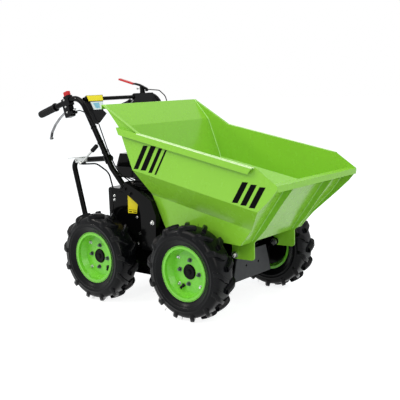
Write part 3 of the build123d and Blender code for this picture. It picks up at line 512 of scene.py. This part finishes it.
# ---- skip: weld beads, folded edges and plain bars on its sides --------------------
RIM_REAR = (17.0, 753.0)        # x, z of a side's top edge at its rear end
RIM_FALL = 0.2                  # how much that edge falls forwards
SHOULDER_DROP, WAIST_DROP = 161.0, 262.0        # rim to each fold, square to the rim
SKIP_HALF, WAIST_HALF = 300.0, 229.0            # inner half widths above and below the folds
SIDE_FACE = 303.0
FLOOR_TAPER = 0.085
REAR_LINE = ((-186.0, 870.0), (-102.0, 777.0), (10.0, 486.0), (72.0, 339.0))
FRONT_LINE = ((462.0, 318.0), (644.0, 573.0))
RIM_RUN = (12.0, 590.0)         # from the rear gusset to the flange's front end
FLANGE_EDGES = (305.5, 318.0)   # half widths of the flange's two rounded edges
FLANGE_EDGE_RADIUS = 2.4
RIB_WELDS = (147.0, 153.0)      # a weld on each side of a front rib
WELD_RADIUS = 2.6
WELD_STEP = 3.4
WELD_PARTS = 24                 # steps along one straight of a seam


def rim_height(x):
    return RIM_REAR[1] - RIM_FALL * (x - RIM_REAR[0])


def inner_half_width(x, z):
    """Half width between the skip's sides at a place in the side view."""
    drop = (rim_height(x) - z) / math.hypot(1, RIM_FALL)
    if drop < SHOULDER_DROP:
        return SKIP_HALF
    if drop < WAIST_DROP:
        return SKIP_HALF - (SKIP_HALF - WAIST_HALF) * (drop - SHOULDER_DROP) / (WAIST_DROP - SHOULDER_DROP)
    return WAIST_HALF - FLOOR_TAPER * (drop - WAIST_DROP)


def weld(shape, route, radius=WELD_RADIUS):
    """A weld bead: a tube whose thickness follows the welder's steps."""
    spots = line_points(route, WELD_STEP)
    shape.add(tube(spots, radius, 8, [1.0 + 0.16 * math.sin(1.9 * k) for k in range(len(spots))]))


def seam_route(line, hand):
    """Where a wall meets a side, along a line in the side view."""
    route = []
    for start, end in zip(line, line[1:]):
        for k in range(WELD_PARTS + 1):
            x, z = (start[i] + (end[i] - start[i]) * k / WELD_PARTS for i in (0, 1))
            route.append((x + 3.0, hand * (inner_half_width(x, z) - 0.6), z + 1.0))
    return route


def skip_welds():
    beads = Shape()
    for hand in HANDS:
        for line in (REAR_LINE, FRONT_LINE, (REAR_LINE[-1], FRONT_LINE[0])):
            weld(beads, seam_route(line, hand))
        for half_width in RIB_WELDS:
            y = hand * half_width
            weld(beads, [(468, y, 322), (640, y, 562)], 1.8)
            weld(beads, [(372, y, 317), (458, y, 313.4)], 1.8)
    # The beads take a lighter green than the skip: a painted highlight.
    make("skip_welds", beads, "skip", "green_paint", "painted_highlight_welds")


def flange_edges():
    """The rounded edges of the out-turned rims, painted a much lighter green as a painted highlight."""
    edges = Shape()
    for hand in HANDS:
        for half_width in FLANGE_EDGES:
            route = [(x, hand * half_width, rim_height(x) - 1.6) for x in RIM_RUN]
            edges.add(tube(line_points(route, 60), FLANGE_EDGE_RADIUS, 12))
    # The edges are painted pale green: a painted highlight, not their own colour.
    make("flange_edges", edges, "skip", "green_paint", "painted_highlight_edges")


BAR_SHEETS = (                  # lower left x, z, length along the slant, width
    (-28.0, 604.0, 118.0, 26.0), (12.0, 600.0, 122.0, 30.0), (56.0, 592.0, 122.0, 20.0),
    (90.0, 586.0, 122.0, 10.0),
    (484.0, 501.0, 96.0, 27.0), (523.0, 494.0, 96.0, 27.0), (562.0, 487.0, 96.0, 27.0))
BAR_SLANT = math.radians(58.0)
FILM_GAP, FILM_TOP = 0.02, 0.5  # the film's back and front, outwards from the side's face


def side_bars():
    """Plain slanted bars of film on both sides, a group at each end."""
    for side_name, side in SIDES:
        shape = Shape()
        low, high = (-FILM_TOP, -FILM_GAP) if side == LEFT else (FILM_GAP, FILM_TOP)
        upright = Matrix.Rotation(math.radians(90), 4, "X")
        place = Matrix.Translation((0, side * SIDE_FACE * MM, 0)) @ upright
        for x, z, length, width in BAR_SHEETS:
            over, up = length * math.cos(BAR_SLANT), length * math.sin(BAR_SLANT)
            outline = [(x, z), (x + width, z), (x + width + over, z + up), (x + over, z + up)]
            shape.add(prism(outline, low, high), place)
        make(f"side_bars_{side_name}", shape, "skip", "black_plastic", "black_film")


skip_welds()
flange_edges()
side_bars()


# ---- plates and bolts of the chassis and belt cover ----------------------------------
ARM_BOLTS = ((-96.0, 488.0), (-127.0, 507.0))                   # x, z
SIDE_BOLTS = ((-380.0, 280.0), (-380.0, 190.0), (120.0, 120.0), (-120.0, 120.0), (170.0, 280.0))
TOP_BOLTS = ((-100.0, 105.0), (-100.0, -105.0), (200.0, 100.0), (200.0, -100.0))    # x, y
REAR_PLATE_BACK = -404.0
AXLE_FLANGE = ((0.0, 27.0), (5.0, 27.0), (5.0, 52.0), (4.0, 54.0), (0.0, 54.0))
FOOT_COLLAR = ((0.0, 12.7), (0.0, 16.5), (2.0, 17.5), (9.0, 17.5), (10.0, 16.5), (10.0, 12.7))
FOOT_COLLAR_X, FOOT_COLLAR_Z = -142.0, 513.5
FOOT_AIM = (-0.676, 0, 0.737)   # along the handlebar's foot


def on_side(side, y):
    """Local x forward and local z outwards from a side face; y is local up."""
    return Matrix.Translation((0, side * y * MM, 0)) @ Matrix.Rotation(math.radians(90), 4, "X") @ (
        Matrix() if side == RIGHT else Matrix.Diagonal((1, 1, -1, 1)))


def bolts_on_a_side(zinc, black, side):
    out = (0, side, 0)
    bolt(zinc, (27.0, side * ARM_HALF, 371.0), out, 13.0, 1.6, 6.0, 3.0)
    for x, z in ARM_BOLTS:
        bolt(black, (x, side * ARM_HALF, z), out, 12.0, 1.2, 6.0)
    for x in (-26.0, 26.0):
        bolt(black, (x, side * ARM_HALF, 274.0), out, 13.0, 1.6, 7.0)
    bolt(zinc, (HINGE[0], side * 160.8, HINGE[1]), out, 17.0, 1.5, 7.0, 3.0)
    for x, z in SIDE_BOLTS:
        bolt(black, (x, side * FRAME_HALF, z), out, 12.0, 1.4, 6.0)
    for _, axle_x in AXLES:
        for k in range(4):
            a = math.radians(45 + 90 * k)
            spot = (axle_x + 40 * math.cos(a), side * (FRAME_HALF + 5.0), AXLE_HEIGHT + 40 * math.sin(a))
            bolt(black, spot, out, 10.0, 1.2, 5.0)
    bolt(zinc, (-424.0, side * 222.0, 260.0), (0, 0, -1), 13.0, 1.5, 6.0)


def chassis_bolts():
    zinc, black = Shape(), Shape()
    for x, z in ((-257.0, 459.0), (-258.0, 441.0)):
        bolt(zinc, (x, -COVER_HALF, z), (0, -1, 0), 9.0, 1.0, 4.0)
    for x, z in ((-268.0, 254.0), (-120.0, 254.0), (-120.0, 372.0)):
        bolt(zinc, (x, -COVER_HALF, z), (0, -1, 0), 8.0, 1.0, 4.0)
    for side in HANDS:
        bolts_on_a_side(zinc, black, side)
    for x, y in TOP_BOLTS:
        bolt(zinc, (x, y, FRAME_TOP), (0, 0, 1), 12.0, 1.4, 6.0)
    for y in (-112.0, 112.0):
        for z in (180.0, 240.0):
            bolt(zinc, (REAR_PLATE_BACK, y, z), (-1, 0, 0), 12.0, 1.4, 6.0)
    make("chassis_bolts", zinc, "chassis", "zinc")
    make("chassis_black_bolts", black, "chassis", "black_paint")


def chassis_welds():
    """Axle flanges, collars at the handlebar's feet and the chassis' weld beads."""
    dark = Shape()
    for side in HANDS:
        for _, axle_x in AXLES:
            dark.add(hoop(AXLE_FLANGE, 40), facing((axle_x, side * FRAME_HALF, AXLE_HEIGHT), (0, side, 0)))
        foot = (FOOT_COLLAR_X, side * HANDLE_HALF, FOOT_COLLAR_Z)
        dark.add(hoop(FOOT_COLLAR, 32), facing(foot, FOOT_AIM))
        for z in (249.5, FRAME_TOP - 1.0):
            weld(dark, [(-42, side * (FRAME_HALF + 1.5), z), (42, side * (FRAME_HALF + 1.5), z)], 2.4)
        weld(dark, [(351, side * 131, 130), (351, side * 110, 240)], 2.2)
    for y in (132, -132):
        weld(dark, [(-398, y, FRAME_TOP + 0.2), (330, y, FRAME_TOP + 0.2)], 1.8)
    make("chassis_welds", dark, "chassis", "black_paint")


COVER_ARC = (-196, 330, 62, 78)         # x, z of its middle, half length and half height
COVER_CORNER = (-270, 480)              # x, z where the two straight ribs meet
COVER_LABEL = ((-174.5, 387), (-121, 389), (-112.5, 431), (-150, 471), (-172, 471))
LABEL_LINES = (((-168, 392), (-150, 396)), ((-142, 392), (-122, 396)), ((-168, 402), (-122, 404)))
LABEL_FACE = 0.6
CATCH_SPOT = (-93.0, 304.0)
CATCH_TURN = math.radians(12)


def cover_ribs():
    """The belt cover's pressed rib and border."""
    x, z, half_length, half_height = COVER_ARC
    arc = []
    for k in range(19):
        a = math.radians(100 + 150 * k / 18)
        arc.append((x + half_length * math.cos(a), -COVER_HALF - 0.4, z + half_height * math.sin(a)))
    ribs = Shape().add(tube(arc, 2.2, 8))
    corner = (COVER_CORNER[0], -COVER_HALF - 0.2, COVER_CORNER[1])
    for end in ((corner[0], corner[1], 256), (-200, corner[1], corner[2])):
        ribs.add(tube(line_points([corner, end], 30), 1.8, 8))
    make("cover_ribs", ribs, "chassis", "black_paint")


def cover_plate():
    """A catch and a blank label with three plain bars."""
    face = on_side(RIGHT, COVER_HALF)
    turned = Matrix.Translation(Vector((*CATCH_SPOT, 0.0)) * MM) @ Matrix.Rotation(CATCH_TURN, 4, "Z")
    make("cover_catch", Shape().add(prism(rounded(40.0, 13.0, 6.4), 0.0, 3.0, 0.8), face @ turned),
         "chassis", "zinc")
    plate = Shape().add(prism(COVER_LABEL, 0.0, LABEL_FACE), face)
    make("cover_plate", plate, "chassis", "black_paint", "yellow_film")
    bars = Shape()
    for low, high in LABEL_LINES:
        bars.add(prism([low, (high[0], low[1]), high, (low[0], high[1])], LABEL_FACE, LABEL_FACE + 0.3), face)
    make("cover_plate_bars", bars, "chassis", "black_paint", "black_film")


chassis_bolts()
chassis_welds()
cover_ribs()
cover_plate()


# ---- engine -------------------------------------------------------------------------
ENGINE_BACK = -393.0            # rear face of the crankcase, and of its cover
COVER_BACK = -398.5
STARTER = (-275, 396)           # x, z of the recoil starter's middle
STARTER_FACE = 152.0            # y of the starter's rim; its middle stands further out
ROPE_AIM = (math.cos(math.radians(55)), 0, math.sin(math.radians(55)))
FILLER = (-200, -60)            # x, y of the tank's filler cap
FILLER_RADIUS = 24.2
FILLER_NOTCHES = 20
TANK = (-200, -53, 586)         # middle of the seam round the tank
TANK_SIZE = (204, 210)
SEAM_OUT, SEAM_IN = 5, 4        # added to, and taken from, the tank's size
SEAM_HALF = 2.0
FILTER = (-250, 540)            # x, z of the air filter's wing nut
MUFFLER = (-241, -102, 509)     # middle of the muffler's top
BACKWARDS, UPWARDS, LEFTWARDS = (-1, 0, 0), (0, 0, 1), (0, 1, 0)


def crankcase(dark, zinc):
    """The rear cover with its ribs and bolts, the oil filler and the drain."""
    for y, z in ((-70, 340), (70, 340), (-70, 440), (70, 440)):
        bolt(zinc, (COVER_BACK, y, z), BACKWARDS, 10.0, 1.0, 5.0)
    dark.add(prism(rounded(168, 132, 18), 0, 5.5, 2.0), facing((ENGINE_BACK, 0, 390), BACKWARDS))
    for k in range(5):
        spot = (COVER_BACK + 0.2, 0, 364 + 13 * k)
        dark.add(prism(rounded(120, 6, 2.9), 0, 3.0, 1.0), facing(spot, BACKWARDS))
    filler = ((0, 15), (6, 15), (9, 13), (9, 10), (20, 10), (22, 8))
    dark.add(lathe(filler, 24), facing((ENGINE_BACK, 88, 326), (-1, 0, 0.35)))
    bolt(zinc, (ENGINE_BACK, -92, 318), BACKWARDS, 15.0, 2.0, 7.0)


def recoil_starter(dark, zinc):
    """The starter's bolts, its raised middle, and the rope's guide with its handle."""
    x, z = STARTER
    for angle in (30, 150, 270):
        a = math.radians(angle)
        spot = (x + 84 * math.cos(a), STARTER_FACE, z + 84 * math.sin(a))
        bolt(zinc, spot, LEFTWARDS, 8.0, 1.0, 3.5)
    dome = ((0, 30), (3, 30), (5, 27), (5, 12), (3.5, 10), (3.5, 0.2))
    dark.add(lathe(dome, 36), facing((x, STARTER_FACE + 4.0, z), LEFTWARDS))
    guide = Vector((x, 130, z)) + Vector(ROPE_AIM) * 90
    dark.add(lathe(((0, 9), (8, 8), (12, 5)), 18), facing(guide, ROPE_AIM))
    handle = ((-26, 4), (-24, 6.5), (-8, 5.4), (0, 6.6), (8, 5.4), (24, 6.5), (26, 4))
    dark.add(lathe(handle, 18), facing(guide + Vector(ROPE_AIM) * 17, LEFTWARDS))


def filler_cap(dark):
    """The cap's band and the notches round its edge."""
    x, y = FILLER
    band = ((-2.5, 26.2), (-2.5, 25.0), (2.5, 25.0), (2.5, 26.2))
    dark.add(hoop(band, 48), facing((x, y, 657), UPWARDS))
    for k in range(FILLER_NOTCHES):
        a = 2 * math.pi * k / FILLER_NOTCHES
        spot = (x + FILLER_RADIUS * math.cos(a), y + FILLER_RADIUS * math.sin(a), 654)
        dark.add(prism(rounded(3.0, 3.0, 0.8, 2), -6.0, 4.0), facing(spot, UPWARDS, math.degrees(a)))


def tank_seam():
    """The flanged seam round the tank, a closed band with a round-cornered outline."""
    outer = rounded(TANK_SIZE[0] + SEAM_OUT, TANK_SIZE[1] + SEAM_OUT, 36)
    inner = rounded(TANK_SIZE[0] - SEAM_IN, TANK_SIZE[1] - SEAM_IN, 33)
    count = len(outer)
    points = []
    for height in (-SEAM_HALF, SEAM_HALF):
        for line in (outer, inner):
            points += [(x * MM, y * MM, height * MM) for x, y in line]
    faces = []
    for k in range(count):
        n = (k + 1) % count
        low_out, low_in, high_out, high_in = ((base + k, base + n) for base in range(0, 4 * count, count))
        faces.append((*low_out, high_out[1], high_out[0]))
        faces.append((low_in[0], high_in[0], high_in[1], low_in[1]))
        faces.append((*high_out, high_in[1], high_in[0]))
        faces.append((low_out[0], low_in[0], low_in[1], low_out[1]))
    make("tank_seam", Shape().add((points, faces), facing(TANK, UPWARDS)), "chassis", "black_plastic")


def filter_nut(zinc):
    x, z = FILTER
    nut = ((0, 3), (5, 3), (5, 9), (9, 9.5), (10, 8))
    zinc.add(lathe(nut, 20), facing((x, 109, z), LEFTWARDS))
    for hand in HANDS:
        wing = prism(rounded(12, 5, 2.4), 2.0, 13.0, 1.0)
        zinc.add(wing, facing((x + hand * 11, 111, z), (0, 1, 0.001)))


def muffler_guard():
    x, y, z = MUFFLER
    hot = Shape().add(prism(rounded(58, 40, 5), 0, 3.0, 1.0), facing(MUFFLER, UPWARDS))
    for k in range(5):
        hot.add(prism(rounded(4, 30, 1.9), 3.0, 5.0, 0.8), facing((x - 20 + 10 * k, y, z), UPWARDS))
    outlet = ((0, 7.0), (22, 7.0), (22, 8.6), (0, 8.6))
    hot.add(hoop(outlet, 28), facing((x - 35, y, z - 14), BACKWARDS))
    make("muffler_guard", hot, "chassis", "exhaust_steel")


def engine():
    dark, zinc = Shape(), Shape()
    crankcase(dark, zinc)
    recoil_starter(dark, zinc)
    filler_cap(dark)
    make("engine_dark", dark, "chassis", "engine_metal")
    tank_seam()
    filter_nut(zinc)
    make("engine_bolts", zinc, "chassis", "zinc")
    muffler_guard()


engine()


# ---- handlebar and controls ---------------------------------------------------------
KNEE, CROWN, TIP = (-216.0, 592.0), (-402.0, 914.0), (-677.6, 828.4)     # x, z along a tube
PANEL_MIDDLE = 895.0            # height at which the panels meet the tubes
PANEL_EDGE = -222.0             # y of the right panel's outer edge
PANEL_FACE = 12.0
LABEL_THICK = 0.5
TIE_SIDES = 36
TIE_HALF = 2.2
TIE_THICK = 1.0
CABLE_REACH = 16.4              # from a tube's middle to a cable's
TUBE_HOLD, CABLE_HOLD = 13.1, 3.3       # from each middle out to the tie's inner face
TIES = (                        # side, lean of the cable round the tube in degrees, heights
    (RIGHT, -45, (642.0, 664.0)), (RIGHT, 45, (642.0, 706.0, 772.0)),
    (LEFT, 0, (630.0, 668.0)))
GRIP_RINGS = 11
GRIP_START, GRIP_STEP = 6.0, 8.6
RING = ((-2.4, 16.2), (-1.2, 17.6), (1.2, 17.6), (2.4, 16.2))
LEVER_REACH, HOUSING_REACH = 205, 194   # from the tip along a grip
ADJUSTER = ((0, 3.6), (5, 3.6), (5, 5.0), (10, 5.0), (10, 3.6), (18, 3.0))
GATE_START, GATE_END = (-502.0, 612.0), (-243.0, 633.0)         # x, z of the gate's bar
SHIFT_PIN = (-403.0, -268.0, 608.0)


def run_between(start, end):
    """Direction in the side view from one x, z to another, as a full vector."""
    run = (Vector(end) - Vector(start)).normalized()
    return Vector((run.x, 0, run.y))


TUBE_RUN = run_between(KNEE, CROWN)
TUBE_FRONT = Vector((TUBE_RUN.z, 0, -TUBE_RUN.x))
GRIP_RUN = run_between(TIP, CROWN)
GRIP_UP = Vector((-GRIP_RUN.z, 0, GRIP_RUN.x))


def tube_spot(height, side):
    share = (height - KNEE[1]) / (CROWN[1] - KNEE[1])
    return Vector((KNEE[0] + share * (CROWN[0] - KNEE[0]), side * HANDLE_HALF, height))


def grip_spot(reach, side):
    return Vector((TIP[0], side * HANDLE_HALF, TIP[1])) + GRIP_RUN * reach


def tie(shape, height, side, lean):
    """A cable tie: a band pulled round the tube and one cable, with its head."""
    out = Vector((0, side, 0))
    cable = (CABLE_REACH * math.cos(lean), CABLE_REACH * math.sin(lean))
    spot = tube_spot(height, side)
    rows = [(-TIE_HALF, 0.0), (-TIE_HALF, TIE_THICK), (TIE_HALF, TIE_THICK), (TIE_HALF, 0.0)]
    points, faces = [], []
    for k in range(TIE_SIDES):
        a = 2 * math.pi * k / TIE_SIDES
        ahead, aside = math.cos(a), math.sin(a)
        reach = max(TUBE_HOLD, cable[0] * ahead + cable[1] * aside + CABLE_HOLD)
        for lift, thick in rows:
            away = TUBE_FRONT * ahead + out * aside
            points.append(tuple((spot + away * (reach + thick) + TUBE_RUN * lift) * MM))
        for row in range(4):
            a, b = k * 4 + row, k * 4 + (row + 1) % 4
            shift = ((k + 1) % TIE_SIDES - k) * 4
            faces.append((a, b, b + shift, a + shift))
    shape.add((points, faces))
    head = spot - TUBE_FRONT * 15.0
    shape.add(prism(rounded(6.0, 5.0, 1.0, 2), -2.5, 3.0), facing(head, -TUBE_FRONT))


def panel_plate(name, corners, finish, low=PANEL_FACE, high=PANEL_FACE + LABEL_THICK):
    """A flat label; its corners are given across from the panel's outer edge and up."""
    middle = tube_spot(PANEL_MIDDLE, 0)
    points = []
    for lift in (low, high):
        for across, up in corners:
            aside = Vector((0, PANEL_EDGE + across, 0))
            points.append(tuple((middle + aside + TUBE_RUN * up + TUBE_FRONT * lift) * MM))
    n = len(corners)
    faces = [tuple(range(n))[::-1], tuple(range(n, 2 * n))]
    faces += [(k, (k + 1) % n, n + (k + 1) % n, n + k) for k in range(n)]
    make(name, Shape().add((points, faces)), "chassis", "black_plastic", finish)


def panel_labels():
    top = PANEL_FACE + LABEL_THICK
    panel_plate("panel_band", ((1, 11.5), (98, 11.5), (88.5, -17), (1, -17)), "yellow_film")
    panel_plate("panel_label", ((8, -21), (84, -21), (66, -62), (8, -62)), "white_film")
    panel_plate("panel_field", ((20, -27), (58, -27), (50, -55), (24, -55)), "blue_film", top, top + 0.2)


def cable_ties():
    ties = Shape()
    for side, lean, heights in TIES:
        for height in heights:
            tie(ties, height, side, math.radians(lean))
    make("cable_ties", ties, "chassis", "black_plastic")


def grip_rings():
    for side_name, side in SIDES:
        rings = Shape()
        for k in range(GRIP_RINGS):
            rings.add(hoop(RING, 32), facing(grip_spot(GRIP_START + GRIP_STEP * k, side), GRIP_RUN))
        make(f"grip_rings_{side_name}", rings, "chassis", "grip_rubber")


def lever_bolts(zinc):
    """Clamp bolts and pivot of the drive lever, on the left tube."""
    clamp = grip_spot(LEVER_REACH, LEFT)
    for hand in (-1, 1):
        bolt(zinc, clamp + Vector((0, 18.0 * hand, 0)), (0, hand, 0), 8.0, 1.0, 4.0)
    pin = clamp + GRIP_RUN * -12 + GRIP_UP * 50
    bolt(zinc, pin + Vector((0, 8.3, 0)), (0, 1, 0), 9.0, 1.0, 4.0)
    bolt(zinc, pin + Vector((0, -8.3, 0)), (0, -1, 0), 9.0, 1.0, 5.0, 2.0)


def housing_screws(zinc):
    housing = grip_spot(HOUSING_REACH, RIGHT)
    for rise in (-24, -50, 8):
        bolt(zinc, housing + GRIP_UP * rise + Vector((0, -15.0, 0)), (0, -1, 0), 6.0, 0.8, 2.5)
    zinc.add(lathe(ADJUSTER, 16), facing((-436.0, -257.0, 850.0), (1, -0.2, 0.25)))


def gate_bolts(zinc):
    run = run_between(GATE_START, GATE_END)
    for reach in (40.0, 108.0):
        spot = Vector((GATE_START[0], -238.5, GATE_START[1])) + run * reach
        bolt(zinc, spot, (0, -1, 0), 8.0, 1.0, 4.0)
    bolt(zinc, SHIFT_PIN, (0, -1, 0), 9.0, 1.2, 4.0, 2.0)
    for side in HANDS:
        bolt(zinc, (-252.0, side * 235.0, 632.0), (0, -side, 0), 8.0, 1.0, 4.0)


def controls():
    panel_labels()
    cable_ties()
    grip_rings()
    zinc = Shape()
    lever_bolts(zinc)
    housing_screws(zinc)
    gate_bolts(zinc)
    make("control_bolts", zinc, "chassis", "zinc")


controls()


# ---- floor, world, lights and camera; places from here on are in metres --------------
WORLD_LEVEL = 0.62
FILL_TINT = (0.82, 0.96, 1.02)
LAMP_TINT = (1.0, 0.94, 0.88)
FLOOR_HALF = 30
FLOOR_GLOW = 0.87
FLOOR_MATT = 0.7                # what the floor gives back to the object
FLOOR_SHADED = 0.42             # what carries the shadow that is seen
LAMPS = (                       # name, place, aim, size, watts
    ("key", (-1.0, -2.6, 3.6), (0, 0, 0.4), 2.4, 66),
    ("front", (3.4, -1.2, 2.2), (0, 0, 0.4), 2.2, 40),
    ("top", (0.2, 0.6, 4.2), (0, 0, 0.4), 3.0, 38),
    ("strip_left", (-2.6, -2.4, 2.4), (0, 0, 0.5), 0.30, 26),
    ("strip_right", (1.6, -3.4, 2.8), (0, 0, 0.4), 0.30, 26))
AZIMUTH, ELEVATION, ROLL = (math.radians(v) for v in (39.566, 9.181, -1.924))
LENS = 65.376
SENSOR = 36.0
CAMERA_SPOT = (2.118, -2.469, 0.953)


def seen_by_eye(tree):
    """1 for camera, glossy and transmission rays."""
    path = tree.nodes.new("ShaderNodeLightPath")
    total = path.outputs["Is Camera Ray"]
    for kind in ("Is Glossy Ray", "Is Transmission Ray"):
        either = tree.nodes.new("ShaderNodeMath")
        either.operation = "MAXIMUM"
        tree.links.new(total, either.inputs[0])
        tree.links.new(path.outputs[kind], either.inputs[1])
        total = either.outputs[0]
    return total


def split_shader(tree, output, lighting, shown):
    """One shader lights the object, the other is what the camera and reflections see."""
    mix = tree.nodes.new("ShaderNodeMixShader")
    tree.links.new(seen_by_eye(tree), mix.inputs[0])
    tree.links.new(lighting, mix.inputs[1])
    tree.links.new(shown, mix.inputs[2])
    tree.links.new(mix.outputs[0], output.inputs[0])


def background(tree, level, tint=(1.0, 1.0, 1.0)):
    node = tree.nodes.new("ShaderNodeBackground")
    node.inputs[0].default_value = (*tint, 1)
    node.inputs[1].default_value = level
    return node.outputs[0]


def diffuse(tree, value):
    node = tree.nodes.new("ShaderNodeBsdfDiffuse")
    node.inputs[0].default_value = (*grey(value), 1)
    return node.outputs[0]


def studio_world():
    world = bpy.data.worlds.new("studio")
    bpy.context.scene.world = world
    world.use_nodes = True
    tree = world.node_tree
    tree.nodes.clear()
    out = tree.nodes.new("ShaderNodeOutputWorld")
    split_shader(tree, out, background(tree, WORLD_LEVEL, FILL_TINT), background(tree, 1.0))


def floor_material():
    mat = bpy.data.materials.new("floor")
    mat.use_nodes = True
    tree = mat.node_tree
    tree.nodes.clear()
    out = tree.nodes.new("ShaderNodeOutputMaterial")
    glow = tree.nodes.new("ShaderNodeEmission")
    glow.inputs[1].default_value = FLOOR_GLOW
    shown = tree.nodes.new("ShaderNodeAddShader")
    tree.links.new(diffuse(tree, FLOOR_SHADED), shown.inputs[0])
    tree.links.new(glow.outputs[0], shown.inputs[1])
    split_shader(tree, out, diffuse(tree, FLOOR_MATT), shown.outputs[0])
    return mat


def studio_floor():
    mesh = bpy.data.meshes.new("floor")
    corners = [(x * FLOOR_HALF, y * FLOOR_HALF, 0) for x, y in ((-1, -1), (1, -1), (1, 1), (-1, 1))]
    mesh.from_pydata(corners, [], [(0, 1, 2, 3)])
    mesh.materials.append(floor_material())
    floor = bpy.data.objects.new("floor", mesh)
    bpy.context.collection.objects.link(floor)


def area_light(name, spot, target, size, watts):
    data = bpy.data.lights.new(name, "AREA")
    data.shape = "SQUARE"
    data.size = size
    data.energy = watts
    data.color = LAMP_TINT
    lamp = bpy.data.objects.new(name, data)
    bpy.context.collection.objects.link(lamp)
    lamp.location = spot
    lamp.rotation_euler = (Vector(target) - Vector(spot)).to_track_quat("-Z", "Y").to_euler()


def studio_camera():
    level = math.cos(ELEVATION)
    back = Vector((math.sin(AZIMUTH) * level, -math.cos(AZIMUTH) * level, math.sin(ELEVATION)))
    right = (-back).cross(Vector((0, 0, 1))).normalized()
    up = right.cross(-back)
    rolled_right = math.cos(ROLL) * right + math.sin(ROLL) * up
    rolled_up = -math.sin(ROLL) * right + math.cos(ROLL) * up
    turn = Matrix((rolled_right, rolled_up, back)).transposed().to_4x4()
    data = bpy.data.cameras.new("camera")
    data.sensor_width = SENSOR
    data.lens = LENS
    camera = bpy.data.objects.new("camera", data)
    bpy.context.collection.objects.link(camera)
    camera.matrix_world = Matrix.Translation(CAMERA_SPOT) @ turn
    bpy.context.scene.camera = camera


studio_world()
studio_floor()
for lamp in LAMPS:
    area_light(*lamp)
studio_camera()
bpy.context.scene.view_settings.view_transform = "Standard"
